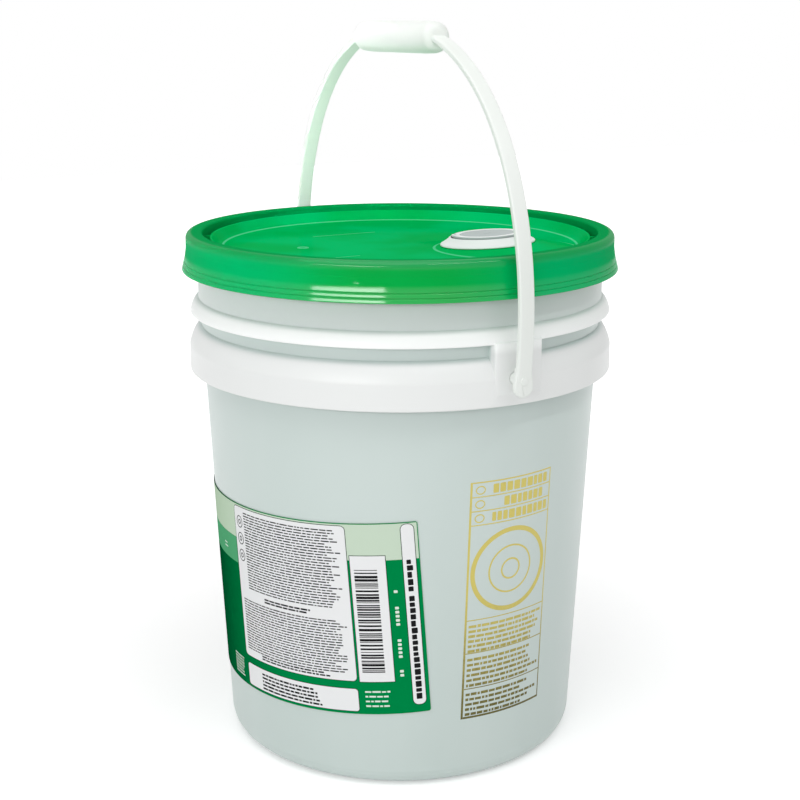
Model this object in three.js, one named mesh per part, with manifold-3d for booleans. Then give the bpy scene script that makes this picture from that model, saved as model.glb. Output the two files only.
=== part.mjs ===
// A five gallon plastic pail with a press-on lid, a pull-up pour spout and a swinging bail.
// Millimetres, +Z up. The origin is the middle of the foot, and the bail turns about the X direction.
import * as THREE from "three";
import { mergeVertices } from "three/addons/utils/BufferGeometryUtils.js";
import Module from "manifold-3d";

const wasm = await Module();
wasm.setup();

// Roundness and fits
const SIDES = 52; // facets round the pail and the lid
const SPOUT_SIDES = 32;
const PIN_SIDES = 16;
const SEAT_GAP = 0.3; // between pieces that rest on or fit in each other
const EDGE = 0.4; // chamfer on a thin moulded edge
const SOFT_EDGE = 1.2; // chamfer on a thick moulded edge
const DRAFT = 0.2; // lean of a short upright wall
const OVERRUN = 1; // a cutting shape runs this far past the face that it opens

// Pail body
const PAIL_HEIGHT = 366.2;
const FOOT_RADIUS = 128.56; // where the tapered wall would meet the ground
const WALL_TAPER = 0.04819; // growth of the radius for each millimetre of height
const WALL = 2.3;
const FLOOR = 2.6;
const FLOOR_RECESS = 2; // the floor stands clear of the ground inside the foot ring
const FOOT_RING_WIDTH = 11;
const HEEL_ROUNDING = 12;
const INNER_HEEL_ROUNDING = 8;

// Neck, ring and band, measured down from the rim
const NECK_RADIUS = 145;
const NECK_HEIGHT = 39.2; // rim to the top of the ring
const RIM_BEAD_REACH = 3.4;
const RIM_BEAD_HEIGHT = 4.8;
const RING_REACH = 6.87; // beyond the wall at the ring's lip
const RING_DROP = 10.5;
const RING_THICKNESS = 2;
const RING_TO_BAND = 19.6; // top of the ring to the top of the band
const BAND_REACH = 8.6;
const BAND_SHOULDER = 14;
const BAND_DROP = 31.7;
const BAND_THICKNESS = 2.2;
const BAND_FLARE = 0.3;
const ROOF_DROP = 1; // the slope under the ring's and the band's top

// Stiffening webs behind the band
const WEB_COUNT = 24;
const WEB_THICKNESS = 1.8;
const WEB_BELOW_SHOULDER = 14;

// Ears that carry the bail
const EAR_WIDTH = 32;
const EAR_PROUD = 0.6; // beyond the band
const EAR_BELOW_PIVOT = 12;
const PIVOT_BELOW_BAND_TOP = 13.4;
const PIN_RADIUS = 3.9;
const PIN_CLEARANCE = 0.3;
const PIN_LENGTH = 7; // into the ear
const PIN_END_ROOM = 0.5;

// Lid
const LID_WALL = 2.2;
const LID_PLUG_WALL = 1.6; // the wall that goes down inside the pail
const SKIRT_CLEARANCE = 2.1; // from the rim bead to the inside of the skirt
const SKIRT_HEIGHT = 28; // hem to crown
const HEM_FLARE = 3.3;
const HEM_FACE = 2.6; // height of the hem's upright face
const HEM_STEP = 0.9; // each step back above the hem
const HEM_STEP_HEIGHT = 2;
const HEM_BLEND = 12.5; // where the flare has run out into the skirt
const HOOK_REACH = 1.5; // the snap bead inside the skirt
const HOOK_BELOW_BEAD = 2;
const HOOK_HEIGHT = 4;
const HOOK_LAND = 1.2;
const TEAR_LINE_DEPTH = 0.4;
const CROWN_TOP = 2.4; // thickness over the rim
const CROWN_ROUNDING = 3.8;
const GASKET_HEIGHT = 3.3;
const GROOVE_WIDTH = 5.1;
const GROOVE_DEPTH = 13.3;
const RIDGE_WIDTH = 1.6;
const RIDGE_BELOW_CROWN = 3.9;
const PANEL_BELOW_CROWN = 11;
const PANEL_SLOPE_WIDTH = 5.9;
const RIB_COUNT = 24;
const RIB_THICKNESS = 1.6;
const RIB_BELOW_RIDGE = 1.8;

// Spout on the lid
const SPOUT_ANGLE = 43; // degrees round from the near ear
const SPOUT_OFFSET = 65; // from the lid's middle
const SPOUT_TILT = 3.5; // degrees, leaning to the lid's middle
const BOSS_HEIGHT = 3;
const BOSS_TOP_RADIUS = 36;
const BOSS_FLANK = 13; // radial width of the boss's flank
const BOSS_PLATE = 3;
const COLLAR_RADIUS = 27.5;
const COLLAR_WALL = 1.9;
const COLLAR_DEPTH = 11;
const COLLAR_LIP = 2;
const BARB_REACH = 2.1;
const BARB_HEIGHT = 2.4;
const FLANGE_RADIUS = 33.5;
const FLANGE_HEIGHT = 5.5;
const FLANGE_EDGE = 1;
const NECK_BORE = 37.6; // diameter of the spout's bore
const NECK_WALL = 2.8;
const NECK_LENGTH = 51.4;
const NECK_FLANGE_REACH = 2.8;
const NECK_FLANGE_HEIGHT = 2.4;
const CAP_CLEARANCE = 0.4;
const CAP_WALL = 2.2;
const CAP_SKIRT = 11;
const CAP_PLATE = 2.2;
const CAP_DROP = 2.1; // the spout ends this far below the retaining ring's top
const CAP_LIP = 0.8; // the plate beyond the skirt
const LINER_THICKNESS = 1;
const PULL_RING_WIDTH = 4;
const PULL_RING_THICKNESS = 1;
const PULL_RECESS_DEPTH = 1.2; // the ring lies in it
const PULL_TAB_WIDTH = 8;
const PULL_HINGE_ANGLE = 241; // degrees, in the spout's own frame

// Bail
const STRAP_WIDTH = 11;
const STRAP_THICKNESS = 4;
const BAIL_SIDE_CLEARANCE = 3.6; // from the lid's hem to the strap
const BAIL_HEIGHT = 211.8; // pivot to the middle of the grip
const BAIL_BULGE = 14.4;
const BAIL_BULGE_HEIGHT = 113.4;
const BAIL_SHOULDER_IN = 38.3;
const BAIL_SHOULDER_HEIGHT = 192.2;
const GRIP_LENGTH = 106;
const GRIP_RADIUS = 10.8;
const GRIP_ROUNDING = 4.5;
const EYE_RADIUS = 7;
const EYE_BELOW_PIVOT = 11;
const EYE_HEIGHT = 9;
const PIN_HEAD_RADIUS = 2.6;
const PIN_HEAD_HEIGHT = 0.7;
const COLLAR_ON_PIN_RADIUS = 6.4;

// Label
const LABEL_WIDTH = 432;
const LABEL_HEIGHT = 140;
const LABEL_BASE_HEIGHT = 50.5; // its lowest edge above the ground
const LABEL_ANGLE = -114;
const LABEL_FILM = 0.3;

// Levels and radii that follow from the sizes above
const taperAngle = Math.atan(WALL_TAPER);
const neckInside = NECK_RADIUS - WALL;
const ringTop = PAIL_HEIGHT - NECK_HEIGHT;
const bandTop = ringTop - RING_TO_BAND;
const bandBottom = bandTop - BAND_DROP;
const pivotHeight = bandTop - PIVOT_BELOW_BAND_TOP;
const beadRadius = NECK_RADIUS + RIM_BEAD_REACH;
const floorTop = FLOOR_RECESS + FLOOR;
const crownUnder = PAIL_HEIGHT + SEAT_GAP + GASKET_HEIGHT + SEAT_GAP;
const crownTop = crownUnder + CROWN_TOP;
const hemBottom = crownTop - SKIRT_HEIGHT;
const skirtInside = beadRadius + SKIRT_CLEARANCE;
const skirtOutside = skirtInside + LID_WALL;
const hemRadius = skirtOutside + HEM_FLARE;
const plugOutside = neckInside - SEAT_GAP;
const plugInside = plugOutside - LID_PLUG_WALL;
const panelTop = crownTop - PANEL_BELOW_CROWN;
const panelUnder = panelTop - LID_WALL;
const bossTop = panelTop + BOSS_HEIGHT;

const wallRadius = (z) => FOOT_RADIUS + WALL_TAPER * z;
const throatRadius = (z) => {
  const share = (z - bandTop) / (ringTop - bandTop);
  return wallRadius(bandTop) + share * (NECK_RADIUS - wallRadius(bandTop));
};
const bandRadius = wallRadius(bandTop) + BAND_REACH;
const earFace = bandRadius + EAR_PROUD;
const strapInside = Math.max(hemRadius, earFace) + BAIL_SIDE_CLEARANCE;
const strapMiddle = strapInside + STRAP_THICKNESS / 2;

// Solids and geometry
function solidOf(geometry) {
  const bare = geometry.clone();
  bare.deleteAttribute("normal");
  bare.deleteAttribute("uv");
  const merged = mergeVertices(bare, 1e-4);
  const corners = merged.index.array;
  const kept = [];
  for (let i = 0; i < corners.length; i += 3) {
    const [a, b, c] = corners.slice(i, i + 3);
    if (a !== b && b !== c && c !== a) kept.push(a, b, c);
  }
  const vertProperties = merged.attributes.position.array;
  return new wasm.Manifold(new wasm.Mesh({ numProp: 3, vertProperties, triVerts: new Uint32Array(kept) }));
}

function geometryOf(solid) {
  const { vertProperties, triVerts } = solid.getMesh();
  const shared = new THREE.BufferGeometry();
  shared.setAttribute("position", new THREE.BufferAttribute(vertProperties, 3));
  shared.setIndex(new THREE.BufferAttribute(triVerts, 1));
  const flat = shared.toNonIndexed();
  flat.computeVertexNormals();
  return flat;
}

function meshOf(name, solid, material) {
  const mesh = new THREE.Mesh(geometryOf(solid), material);
  mesh.name = name;
  return mesh;
}

const joined = (solids) => solids.reduce((sum, next) => sum.add(next));

// A ring or a disc turned about Z. The profile runs anticlockwise as [radius, height] pairs.
function turned(profile, sides) {
  const points = profile.map(([r, z]) => new THREE.Vector2(r, z));
  const [first, last] = [points[0], points[points.length - 1]];
  const onAxis = first.x === 0 && last.x === 0;
  if (!onAxis) points.push(first.clone());
  return new THREE.LatheGeometry(points, sides).rotateX(Math.PI / 2);
}

// Points of a circular arc in a profile, from one angle to the other in radians.
function arc(r, z, radius, from, to, steps) {
  return Array.from({ length: steps + 1 }, (_, i) => {
    const angle = from + ((to - from) * i) / steps;
    return [r + radius * Math.cos(angle), z + radius * Math.sin(angle)];
  });
}

// A soft shoulder that leaves a wall at the top and ends in an upright face, from top to bottom.
function shoulder(topRadius, top, outerRadius, bottom, steps) {
  const bend = new THREE.QuadraticBezierCurve(
    new THREE.Vector2(topRadius, top),
    new THREE.Vector2(topRadius + 0.66 * (outerRadius - topRadius), top + 0.17 * (bottom - top)),
    new THREE.Vector2(outerRadius, bottom),
  );
  return bend.getPoints(steps).map((p) => [p.x, p.y]);
}

// A cylinder along X, from one x to the other.
function rod(radius, from, to, height) {
  const turnedRod = new THREE.CylinderGeometry(radius, radius, Math.abs(to - from), PIN_SIDES);
  return turnedRod.rotateZ(Math.PI / 2).translate((from + to) / 2, 0, height);
}

// Pail
function pailOutside() {
  const heelMiddle = FOOT_RADIUS + WALL_TAPER * HEEL_ROUNDING - HEEL_ROUNDING / Math.cos(taperAngle);
  const footInner = heelMiddle - FOOT_RING_WIDTH;
  const lipRadius = bandRadius + BAND_FLARE;
  const bandRoof = bandTop - BAND_THICKNESS - ROOF_DROP;
  const bandSide = bandTop - BAND_SHOULDER;
  const ringRoof = ringTop - RING_THICKNESS - ROOF_DROP;
  const ringLip = ringTop - RING_DROP;
  const ringRadius = throatRadius(ringLip) + RING_REACH;
  const beadBottom = PAIL_HEIGHT - RIM_BEAD_HEIGHT;
  return turned(
    [
      [0, FLOOR_RECESS],
      [footInner - FLOOR_RECESS, FLOOR_RECESS],
      [footInner, 0],
      ...arc(heelMiddle, HEEL_ROUNDING, HEEL_ROUNDING, -Math.PI / 2, -taperAngle, 4),
      ...shoulder(wallRadius(bandRoof), bandRoof, bandRadius - BAND_THICKNESS, bandSide, 3),
      [lipRadius - BAND_THICKNESS, bandBottom],
      [lipRadius, bandBottom],
      ...shoulder(wallRadius(bandTop), bandTop, bandRadius, bandSide, 4).reverse(),
      [throatRadius(ringRoof), ringRoof],
      [ringRadius - RING_THICKNESS, ringLip + RING_DROP / 5],
      [ringRadius - RING_THICKNESS, ringLip],
      [ringRadius, ringLip],
      ...shoulder(NECK_RADIUS, ringTop, ringRadius, ringLip + ROOF_DROP, 3).reverse(),
      [NECK_RADIUS, beadBottom - SOFT_EDGE],
      [beadRadius, beadBottom],
      [beadRadius, PAIL_HEIGHT - SOFT_EDGE],
      [beadRadius - SOFT_EDGE, PAIL_HEIGHT],
      [0, PAIL_HEIGHT],
    ],
    SIDES,
  );
}

function pailHollow() {
  const inset = WALL / Math.cos(taperAngle);
  const heelHeight = floorTop + INNER_HEEL_ROUNDING;
  const heelMiddle = wallRadius(heelHeight) - inset - INNER_HEEL_ROUNDING / Math.cos(taperAngle);
  return turned(
    [
      [0, floorTop],
      ...arc(heelMiddle, heelHeight, INNER_HEEL_ROUNDING, -Math.PI / 2, -taperAngle, 3),
      [wallRadius(bandTop) - inset, bandTop],
      [neckInside, ringTop],
      [neckInside, PAIL_HEIGHT - 2 * EDGE],
      [neckInside + 2 * EDGE, PAIL_HEIGHT],
      [neckInside + 2 * EDGE, PAIL_HEIGHT + OVERRUN],
      [0, PAIL_HEIGHT + OVERRUN],
    ],
    SIDES,
  );
}

// Thin upright walls that tie the band to the pail's wall, evenly spaced and clear of the ears' middles.
function bandWebs() {
  const shoulderHeight = bandTop - BAND_SHOULDER;
  const bottom = shoulderHeight - WEB_BELOW_SHOULDER;
  const outer = bandRadius - BAND_THICKNESS / 2;
  const outline = new THREE.Shape([
    new THREE.Vector2(wallRadius(bottom) - WALL / 2, bottom),
    new THREE.Vector2(outer, bottom),
    new THREE.Vector2(outer, shoulderHeight),
    new THREE.Vector2(wallRadius(bandTop) - WALL / 2, bandTop - BAND_THICKNESS),
  ]);
  return Array.from({ length: WEB_COUNT }, (_, i) => {
    const web = new THREE.ExtrudeGeometry(outline, { depth: WEB_THICKNESS, bevelEnabled: false });
    web.rotateX(Math.PI / 2).translate(0, WEB_THICKNESS / 2, 0);
    return solidOf(web.rotateZ((2 * Math.PI * (i + 0.5)) / WEB_COUNT));
  });
}

// The block between the ring and the band that holds one pin of the bail.
function ear(side) {
  const half = EAR_WIDTH / 2;
  const bottom = pivotHeight - EAR_BELOW_PIVOT;
  const top = ringTop - RING_THICKNESS - ROOF_DROP;
  const faceAngle = Math.asin(half / earFace);
  const inner = wallRadius(bottom) - 2 * WALL;
  const outline = new THREE.Shape();
  outline.moveTo(inner, half);
  outline.lineTo(inner, -half);
  outline.lineTo(earFace * Math.cos(faceAngle), -half);
  outline.absarc(0, 0, earFace, -faceAngle, faceAngle, false);
  outline.lineTo(inner, half);
  const block = new THREE.ExtrudeGeometry(outline, { depth: top - bottom, bevelEnabled: false, curveSegments: 6 });
  block.translate(0, 0, bottom);
  return block.rotateZ(side > 0 ? 0 : Math.PI);
}

function buildPail() {
  const ears = [1, -1].map((side) => solidOf(ear(side)));
  const walls = joined([solidOf(pailOutside()), ...bandWebs(), ...ears]);
  const pinHoles = [1, -1].map((side) => {
    const blindEnd = earFace - PIN_LENGTH - PIN_END_ROOM;
    return solidOf(rod(PIN_RADIUS + PIN_CLEARANCE, side * blindEnd, side * (earFace + OVERRUN), pivotHeight));
  });
  return pinHoles.reduce((body, hole) => body.subtract(hole), walls.subtract(solidOf(pailHollow())));
}

// Lid
function lidShell() {
  const ridgeTop = crownTop - RIDGE_BELOW_CROWN;
  const grooveFloor = crownTop - GROOVE_DEPTH;
  const grooveUnder = grooveFloor - LID_WALL;
  const ridgeOuter = plugInside - GROOVE_WIDTH;
  const ridgeInner = ridgeOuter - RIDGE_WIDTH;
  const panelRadius = ridgeInner - PANEL_SLOPE_WIDTH;
  const ridgeBack = ridgeOuter + DRAFT - LID_WALL;
  const hookTop = PAIL_HEIGHT - RIM_BEAD_HEIGHT - HOOK_BELOW_BEAD;
  const hookSlope = (HOOK_HEIGHT - HOOK_LAND) / 2;
  const stepBottom = hemBottom + HEM_FACE + HEM_STEP_HEIGHT;
  const stepTop = stepBottom + 2 * EDGE + HEM_STEP_HEIGHT;
  const crownMiddle = skirtOutside - CROWN_ROUNDING;
  return turned(
    [
      [0, panelUnder],
      [panelRadius + SOFT_EDGE, panelUnder],
      [ridgeBack - DRAFT, ridgeTop - 2 * LID_WALL],
      [ridgeBack, grooveUnder],
      [plugOutside - SOFT_EDGE, grooveUnder],
      [plugOutside, grooveUnder + SOFT_EDGE],
      [plugOutside, crownUnder],
      [skirtInside, crownUnder],
      [skirtInside, hookTop],
      [skirtInside - HOOK_REACH, hookTop - hookSlope],
      [skirtInside - HOOK_REACH, hookTop - hookSlope - HOOK_LAND],
      [skirtInside, hookTop - HOOK_HEIGHT],
      [hemRadius - LID_WALL - EDGE, hemBottom + HEM_FACE],
      [hemRadius - LID_WALL, hemBottom],
      [hemRadius - EDGE, hemBottom],
      [hemRadius, hemBottom + EDGE],
      [hemRadius, hemBottom + HEM_FACE],
      [hemRadius - HEM_STEP, stepBottom],
      [hemRadius - HEM_STEP - TEAR_LINE_DEPTH, stepBottom + EDGE],
      [hemRadius - 2 * HEM_STEP - TEAR_LINE_DEPTH, stepTop - EDGE],
      [hemRadius - 2 * HEM_STEP, stepTop],
      [skirtOutside + EDGE, hemBottom + HEM_BLEND],
      [skirtOutside, hemBottom + HEM_BLEND + CROWN_ROUNDING],
      ...arc(crownMiddle, crownTop - CROWN_ROUNDING, CROWN_ROUNDING, 0, Math.PI / 2, 3),
      [plugInside + SOFT_EDGE, crownTop],
      [plugInside, crownTop - SOFT_EDGE],
      [plugInside - DRAFT, grooveFloor],
      [ridgeOuter + DRAFT, grooveFloor],
      [ridgeOuter, ridgeTop - EDGE],
      [ridgeOuter - EDGE, ridgeTop],
      [ridgeInner + EDGE, ridgeTop],
      [panelRadius, panelTop],
      [0, panelTop],
    ],
    SIDES,
  );
}

// Short walls across the groove, evenly spaced round the lid.
function lidRibs() {
  const grooveFloor = crownTop - GROOVE_DEPTH;
  const top = crownTop - RIDGE_BELOW_CROWN - RIB_BELOW_RIDGE;
  const bottom = grooveFloor - LID_WALL / 2;
  const inner = plugInside - GROOVE_WIDTH - RIDGE_WIDTH / 2;
  const outer = plugInside + LID_PLUG_WALL / 2;
  return Array.from({ length: RIB_COUNT }, (_, i) => {
    const rib = new THREE.BoxGeometry(outer - inner, RIB_THICKNESS, top - bottom);
    rib.translate((inner + outer) / 2, 0, (top + bottom) / 2);
    return solidOf(rib.rotateZ((2 * Math.PI * i) / RIB_COUNT));
  });
}

// The spout's frame: its origin is the middle of the boss's top, and its Z is the spout's axis.
const spoutFrame = new THREE.Group();
{
  const round = THREE.MathUtils.degToRad(SPOUT_ANGLE);
  spoutFrame.position.set(SPOUT_OFFSET * Math.cos(round), SPOUT_OFFSET * Math.sin(round), bossTop);
  const across = new THREE.Vector3(Math.sin(round), -Math.cos(round), 0);
  spoutFrame.quaternion.setFromAxisAngle(across, THREE.MathUtils.degToRad(SPOUT_TILT));
  spoutFrame.updateMatrix();
}
const turnedAtSpout = (profile) => turned(profile, SPOUT_SIDES).applyMatrix4(spoutFrame.matrix);

function buildLid() {
  const slope = BOSS_FLANK / BOSS_HEIGHT;
  const skirtDrop = 2 * BOSS_HEIGHT + LID_WALL;
  const boss = turnedAtSpout([
    [0, -skirtDrop],
    [BOSS_TOP_RADIUS + slope * skirtDrop, -skirtDrop],
    [BOSS_TOP_RADIUS, 0],
    [0, 0],
  ]);
  const below = turned(
    [
      [0, panelUnder - SKIRT_HEIGHT],
      [hemRadius, panelUnder - SKIRT_HEIGHT],
      [hemRadius, panelUnder + LID_WALL / 2],
      [0, panelUnder + LID_WALL / 2],
    ],
    SIDES,
  );
  const recessRadius = BOSS_TOP_RADIUS - LID_WALL;
  const recess = turnedAtSpout([
    [0, -BOSS_PLATE - SKIRT_HEIGHT],
    [recessRadius, -BOSS_PLATE - SKIRT_HEIGHT],
    [recessRadius, -BOSS_PLATE],
    [0, -BOSS_PLATE],
  ]);
  const holeRadius = COLLAR_RADIUS + SEAT_GAP;
  const hole = turnedAtSpout([
    [0, -BOSS_PLATE - OVERRUN],
    [holeRadius, -BOSS_PLATE - OVERRUN],
    [holeRadius, OVERRUN],
    [0, OVERRUN],
  ]);
  const raised = solidOf(boss).subtract(solidOf(below));
  const shell = joined([solidOf(lidShell()), raised, ...lidRibs()]);
  return shell.subtract(solidOf(recess)).subtract(solidOf(hole));
}

function buildGasket() {
  const bottom = PAIL_HEIGHT + SEAT_GAP;
  const inner = plugOutside + SEAT_GAP;
  const outer = beadRadius;
  return solidOf(
    turned(
      [
        [inner, bottom],
        [outer, bottom],
        [outer, bottom + GASKET_HEIGHT],
        [inner, bottom + GASKET_HEIGHT],
      ],
      SIDES,
    ),
  );
}

// Spout, in its own frame
const collarInside = COLLAR_RADIUS - COLLAR_WALL;
const neckRadius = NECK_BORE / 2 + NECK_WALL;
const neckTop = FLANGE_HEIGHT - CAP_DROP;
const linerBottom = neckTop + SEAT_GAP;
const capUnder = linerBottom + LINER_THICKNESS + SEAT_GAP;
const capTop = capUnder + CAP_PLATE;
const capInside = neckRadius + CAP_CLEARANCE;
const capSkirtRadius = capInside + CAP_WALL;
const capRadius = capSkirtRadius + CAP_LIP;
const recessFloor = capTop - PULL_RECESS_DEPTH;
const pullRingOuter = capSkirtRadius - 2 * SEAT_GAP;
const pullRingInner = pullRingOuter - PULL_RING_WIDTH;
const pullHingeRadius = pullRingOuter + PULL_RING_THICKNESS / 2 + SEAT_GAP;

function buildSpoutRing() {
  const barbTop = -BOSS_PLATE - SEAT_GAP;
  const lipInside = neckRadius + 2 * SEAT_GAP;
  const flangeTop = SEAT_GAP + FLANGE_HEIGHT;
  return solidOf(
    turned(
      [
        [lipInside, -COLLAR_DEPTH],
        [COLLAR_RADIUS, -COLLAR_DEPTH],
        [COLLAR_RADIUS, barbTop - BARB_HEIGHT],
        [COLLAR_RADIUS + BARB_REACH, barbTop - BARB_HEIGHT / 2],
        [COLLAR_RADIUS + BARB_REACH, barbTop],
        [COLLAR_RADIUS, barbTop],
        [COLLAR_RADIUS, SEAT_GAP],
        [FLANGE_RADIUS, SEAT_GAP],
        [FLANGE_RADIUS, SEAT_GAP + FLANGE_EDGE],
        [collarInside + SOFT_EDGE, flangeTop],
        [collarInside, flangeTop],
        [collarInside, -COLLAR_DEPTH + COLLAR_LIP],
        [lipInside, -COLLAR_DEPTH + COLLAR_LIP],
      ],
      SPOUT_SIDES,
    ),
  );
}

function buildSpoutNeck() {
  const bottom = neckTop - NECK_LENGTH;
  const bore = NECK_BORE / 2;
  const flangeRadius = neckRadius + NECK_FLANGE_REACH;
  return solidOf(
    turned(
      [
        [bore, bottom],
        [flangeRadius, bottom],
        [flangeRadius, bottom + NECK_FLANGE_HEIGHT],
        [neckRadius, bottom + NECK_FLANGE_HEIGHT],
        [neckRadius, neckTop],
        [bore, neckTop],
      ],
      SPOUT_SIDES,
    ),
  );
}

function buildSpoutCap() {
  const skirtBottom = capUnder - CAP_SKIRT;
  const recessInner = pullRingInner - SEAT_GAP;
  const recessOuter = pullRingOuter + SEAT_GAP;
  const body = solidOf(
    turned(
      [
        [0, capUnder],
        [capInside, capUnder],
        [capInside, skirtBottom],
        [capSkirtRadius, skirtBottom],
        [capSkirtRadius, capUnder],
        [capRadius, capUnder + EDGE],
        [capRadius, capTop - EDGE],
        [capRadius - EDGE, capTop],
        [recessOuter, capTop],
        [recessOuter, recessFloor],
        [recessInner, recessFloor],
        [recessInner, capTop],
        [0, capTop],
      ],
      SPOUT_SIDES,
    ),
  );
  const slotLength = capRadius + OVERRUN - recessInner;
  const slot = new THREE.BoxGeometry(slotLength, PULL_TAB_WIDTH + 2 * SEAT_GAP, CAP_PLATE);
  slot.translate(recessInner + slotLength / 2, 0, recessFloor + CAP_PLATE / 2);
  slot.rotateZ(THREE.MathUtils.degToRad(PULL_HINGE_ANGLE));
  const core = solidOf(
    turned(
      [
        [0, capUnder],
        [recessInner, capUnder],
        [recessInner, capTop],
        [0, capTop],
      ],
      SPOUT_SIDES,
    ),
  );
  return body.subtract(solidOf(slot)).add(core);
}

function buildCapLiner() {
  const radius = capInside - 3 * SEAT_GAP;
  const disc = new THREE.CylinderGeometry(radius, radius, LINER_THICKNESS, SPOUT_SIDES);
  return solidOf(disc.rotateX(Math.PI / 2).translate(0, 0, linerBottom + LINER_THICKNESS / 2));
}

function buildPullRing() {
  const bottom = recessFloor + SEAT_GAP;
  const middle = bottom + PULL_RING_THICKNESS / 2;
  const ring = solidOf(
    turned(
      [
        [pullRingInner, bottom],
        [pullRingOuter, bottom],
        [pullRingOuter, bottom + PULL_RING_THICKNESS],
        [pullRingInner, bottom + PULL_RING_THICKNESS],
      ],
      SPOUT_SIDES,
    ),
  );
  const barrelRadius = PULL_RING_THICKNESS / 2;
  const tabFrom = pullRingOuter - PULL_RING_WIDTH / 2;
  const tab = new THREE.BoxGeometry(pullHingeRadius - tabFrom, PULL_TAB_WIDTH, PULL_RING_THICKNESS);
  tab.translate((pullHingeRadius + tabFrom) / 2, 0, middle);
  const barrel = new THREE.CylinderGeometry(barrelRadius, barrelRadius, PULL_TAB_WIDTH, PIN_SIDES);
  barrel.translate(pullHingeRadius, 0, middle);
  const turn = THREE.MathUtils.degToRad(PULL_HINGE_ANGLE);
  return joined([ring, solidOf(tab.rotateZ(turn)), solidOf(barrel.rotateZ(turn))]);
}

// Bail
function strapSection() {
  const [w, t] = [STRAP_WIDTH / 2, STRAP_THICKNESS / 2];
  const edge = t / 2;
  return new THREE.Shape([
    new THREE.Vector2(w, -t + edge),
    new THREE.Vector2(w, t - edge),
    new THREE.Vector2(w - edge, t),
    new THREE.Vector2(-w + edge, t),
    new THREE.Vector2(-w, t - edge),
    new THREE.Vector2(-w, -t + edge),
    new THREE.Vector2(-w + edge, -t),
    new THREE.Vector2(w - edge, -t),
  ]);
}

// One side of the strap, from its pivot up and over into the grip.
function strap(side) {
  const at = (x, height) => new THREE.Vector3(side * x, 0, pivotHeight + height);
  const path = new THREE.CubicBezierCurve3(
    at(strapMiddle, 0),
    at(strapMiddle + BAIL_BULGE, BAIL_BULGE_HEIGHT),
    at(strapMiddle - BAIL_SHOULDER_IN, BAIL_SHOULDER_HEIGHT),
    at(GRIP_LENGTH / 2, BAIL_HEIGHT),
  );
  return new THREE.ExtrudeGeometry(strapSection(), { extrudePath: path, steps: 18 });
}

// The rounded end of the strap, its collar against the ear and the pin that goes into it.
function eyeAndPin(side) {
  const low = EYE_RADIUS - EYE_BELOW_PIVOT;
  const outline = new THREE.Shape();
  outline.moveTo(EYE_RADIUS, low);
  outline.lineTo(STRAP_WIDTH / 2, EYE_HEIGHT);
  outline.lineTo(-STRAP_WIDTH / 2, EYE_HEIGHT);
  outline.lineTo(-EYE_RADIUS, low);
  outline.absarc(0, low, EYE_RADIUS, Math.PI, 2 * Math.PI, false);
  const plate = new THREE.ExtrudeGeometry(outline, {
    depth: STRAP_THICKNESS,
    bevelEnabled: false,
    curveSegments: 12,
  });
  plate.rotateX(Math.PI / 2).rotateZ(Math.PI / 2);
  const from = side > 0 ? strapInside : -strapInside - STRAP_THICKNESS;
  plate.translate(from, 0, pivotHeight);
  const strapOutside = strapInside + STRAP_THICKNESS;
  const overlap = STRAP_THICKNESS / 2;
  const collar = rod(
    COLLAR_ON_PIN_RADIUS,
    side * (earFace + SEAT_GAP),
    side * (strapInside + overlap),
    pivotHeight,
  );
  const pin = rod(PIN_RADIUS, side * (earFace - PIN_LENGTH), side * (strapInside + overlap), pivotHeight);
  const headEnd = side * (strapOutside + PIN_HEAD_HEIGHT);
  const head = rod(PIN_HEAD_RADIUS, side * (strapOutside - overlap), headEnd, pivotHeight);
  return [plate, collar, pin, head].map(solidOf);
}

function buildBail() {
  const half = GRIP_LENGTH / 2;
  const grip = turned(
    [
      [0, -half],
      ...arc(GRIP_RADIUS - GRIP_ROUNDING, -half + GRIP_ROUNDING, GRIP_ROUNDING, -Math.PI / 2, 0, 4),
      ...arc(GRIP_RADIUS - GRIP_ROUNDING, half - GRIP_ROUNDING, GRIP_ROUNDING, 0, Math.PI / 2, 3),
      [0, half],
    ],
    PIN_SIDES,
  );
  grip.rotateY(Math.PI / 2).translate(0, 0, pivotHeight + BAIL_HEIGHT);
  const sides = [1, -1].flatMap((side) => [solidOf(strap(side)), ...eyeAndPin(side)]);
  return joined([solidOf(grip), ...sides]);
}

// Label: a flat rectangle of film wrapped on the tapered wall
function buildLabel() {
  const film = new THREE.BoxGeometry(LABEL_WIDTH, LABEL_HEIGHT, LABEL_FILM, 40, 3, 1);
  const spread = Math.sin(taperAngle);
  const apexDepth = FOOT_RADIUS / WALL_TAPER;
  const slant = (LABEL_BASE_HEIGHT + apexDepth) / Math.cos(taperAngle) + LABEL_HEIGHT / 2;
  const position = film.attributes.position;
  for (let i = 0; i < position.count; i += 1) {
    const [x, y] = [position.getX(i), slant + position.getY(i)];
    const lift = SEAT_GAP + LABEL_FILM / 2 + position.getZ(i);
    const fromApex = Math.hypot(x, y);
    const turn = THREE.MathUtils.degToRad(LABEL_ANGLE) + Math.atan2(x, y) / spread;
    const radius = fromApex * spread + lift * Math.cos(taperAngle);
    const height = fromApex * Math.cos(taperAngle) - apexDepth - lift * spread;
    position.setXYZ(i, radius * Math.cos(turn), radius * Math.sin(turn), height);
  }
  return solidOf(film);
}

// Materials
const plastic = (color, roughness) => new THREE.MeshStandardMaterial({ color, roughness, metalness: 0 });
const bodyPlastic = plastic(0xd0dad6, 0.35);
const lidPlastic = plastic(0x00a550, 0.22);
const bailPlastic = plastic(0xeeece8, 0.4);
const whitePlastic = plastic(0xe9eeec, 0.35);
const greyPlastic = plastic(0xc3c3c8, 0.4);
const softSeal = plastic(0xd8d8d4, 0.8);
const labelFilm = plastic(0x1f8f4f, 0.5);

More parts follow.
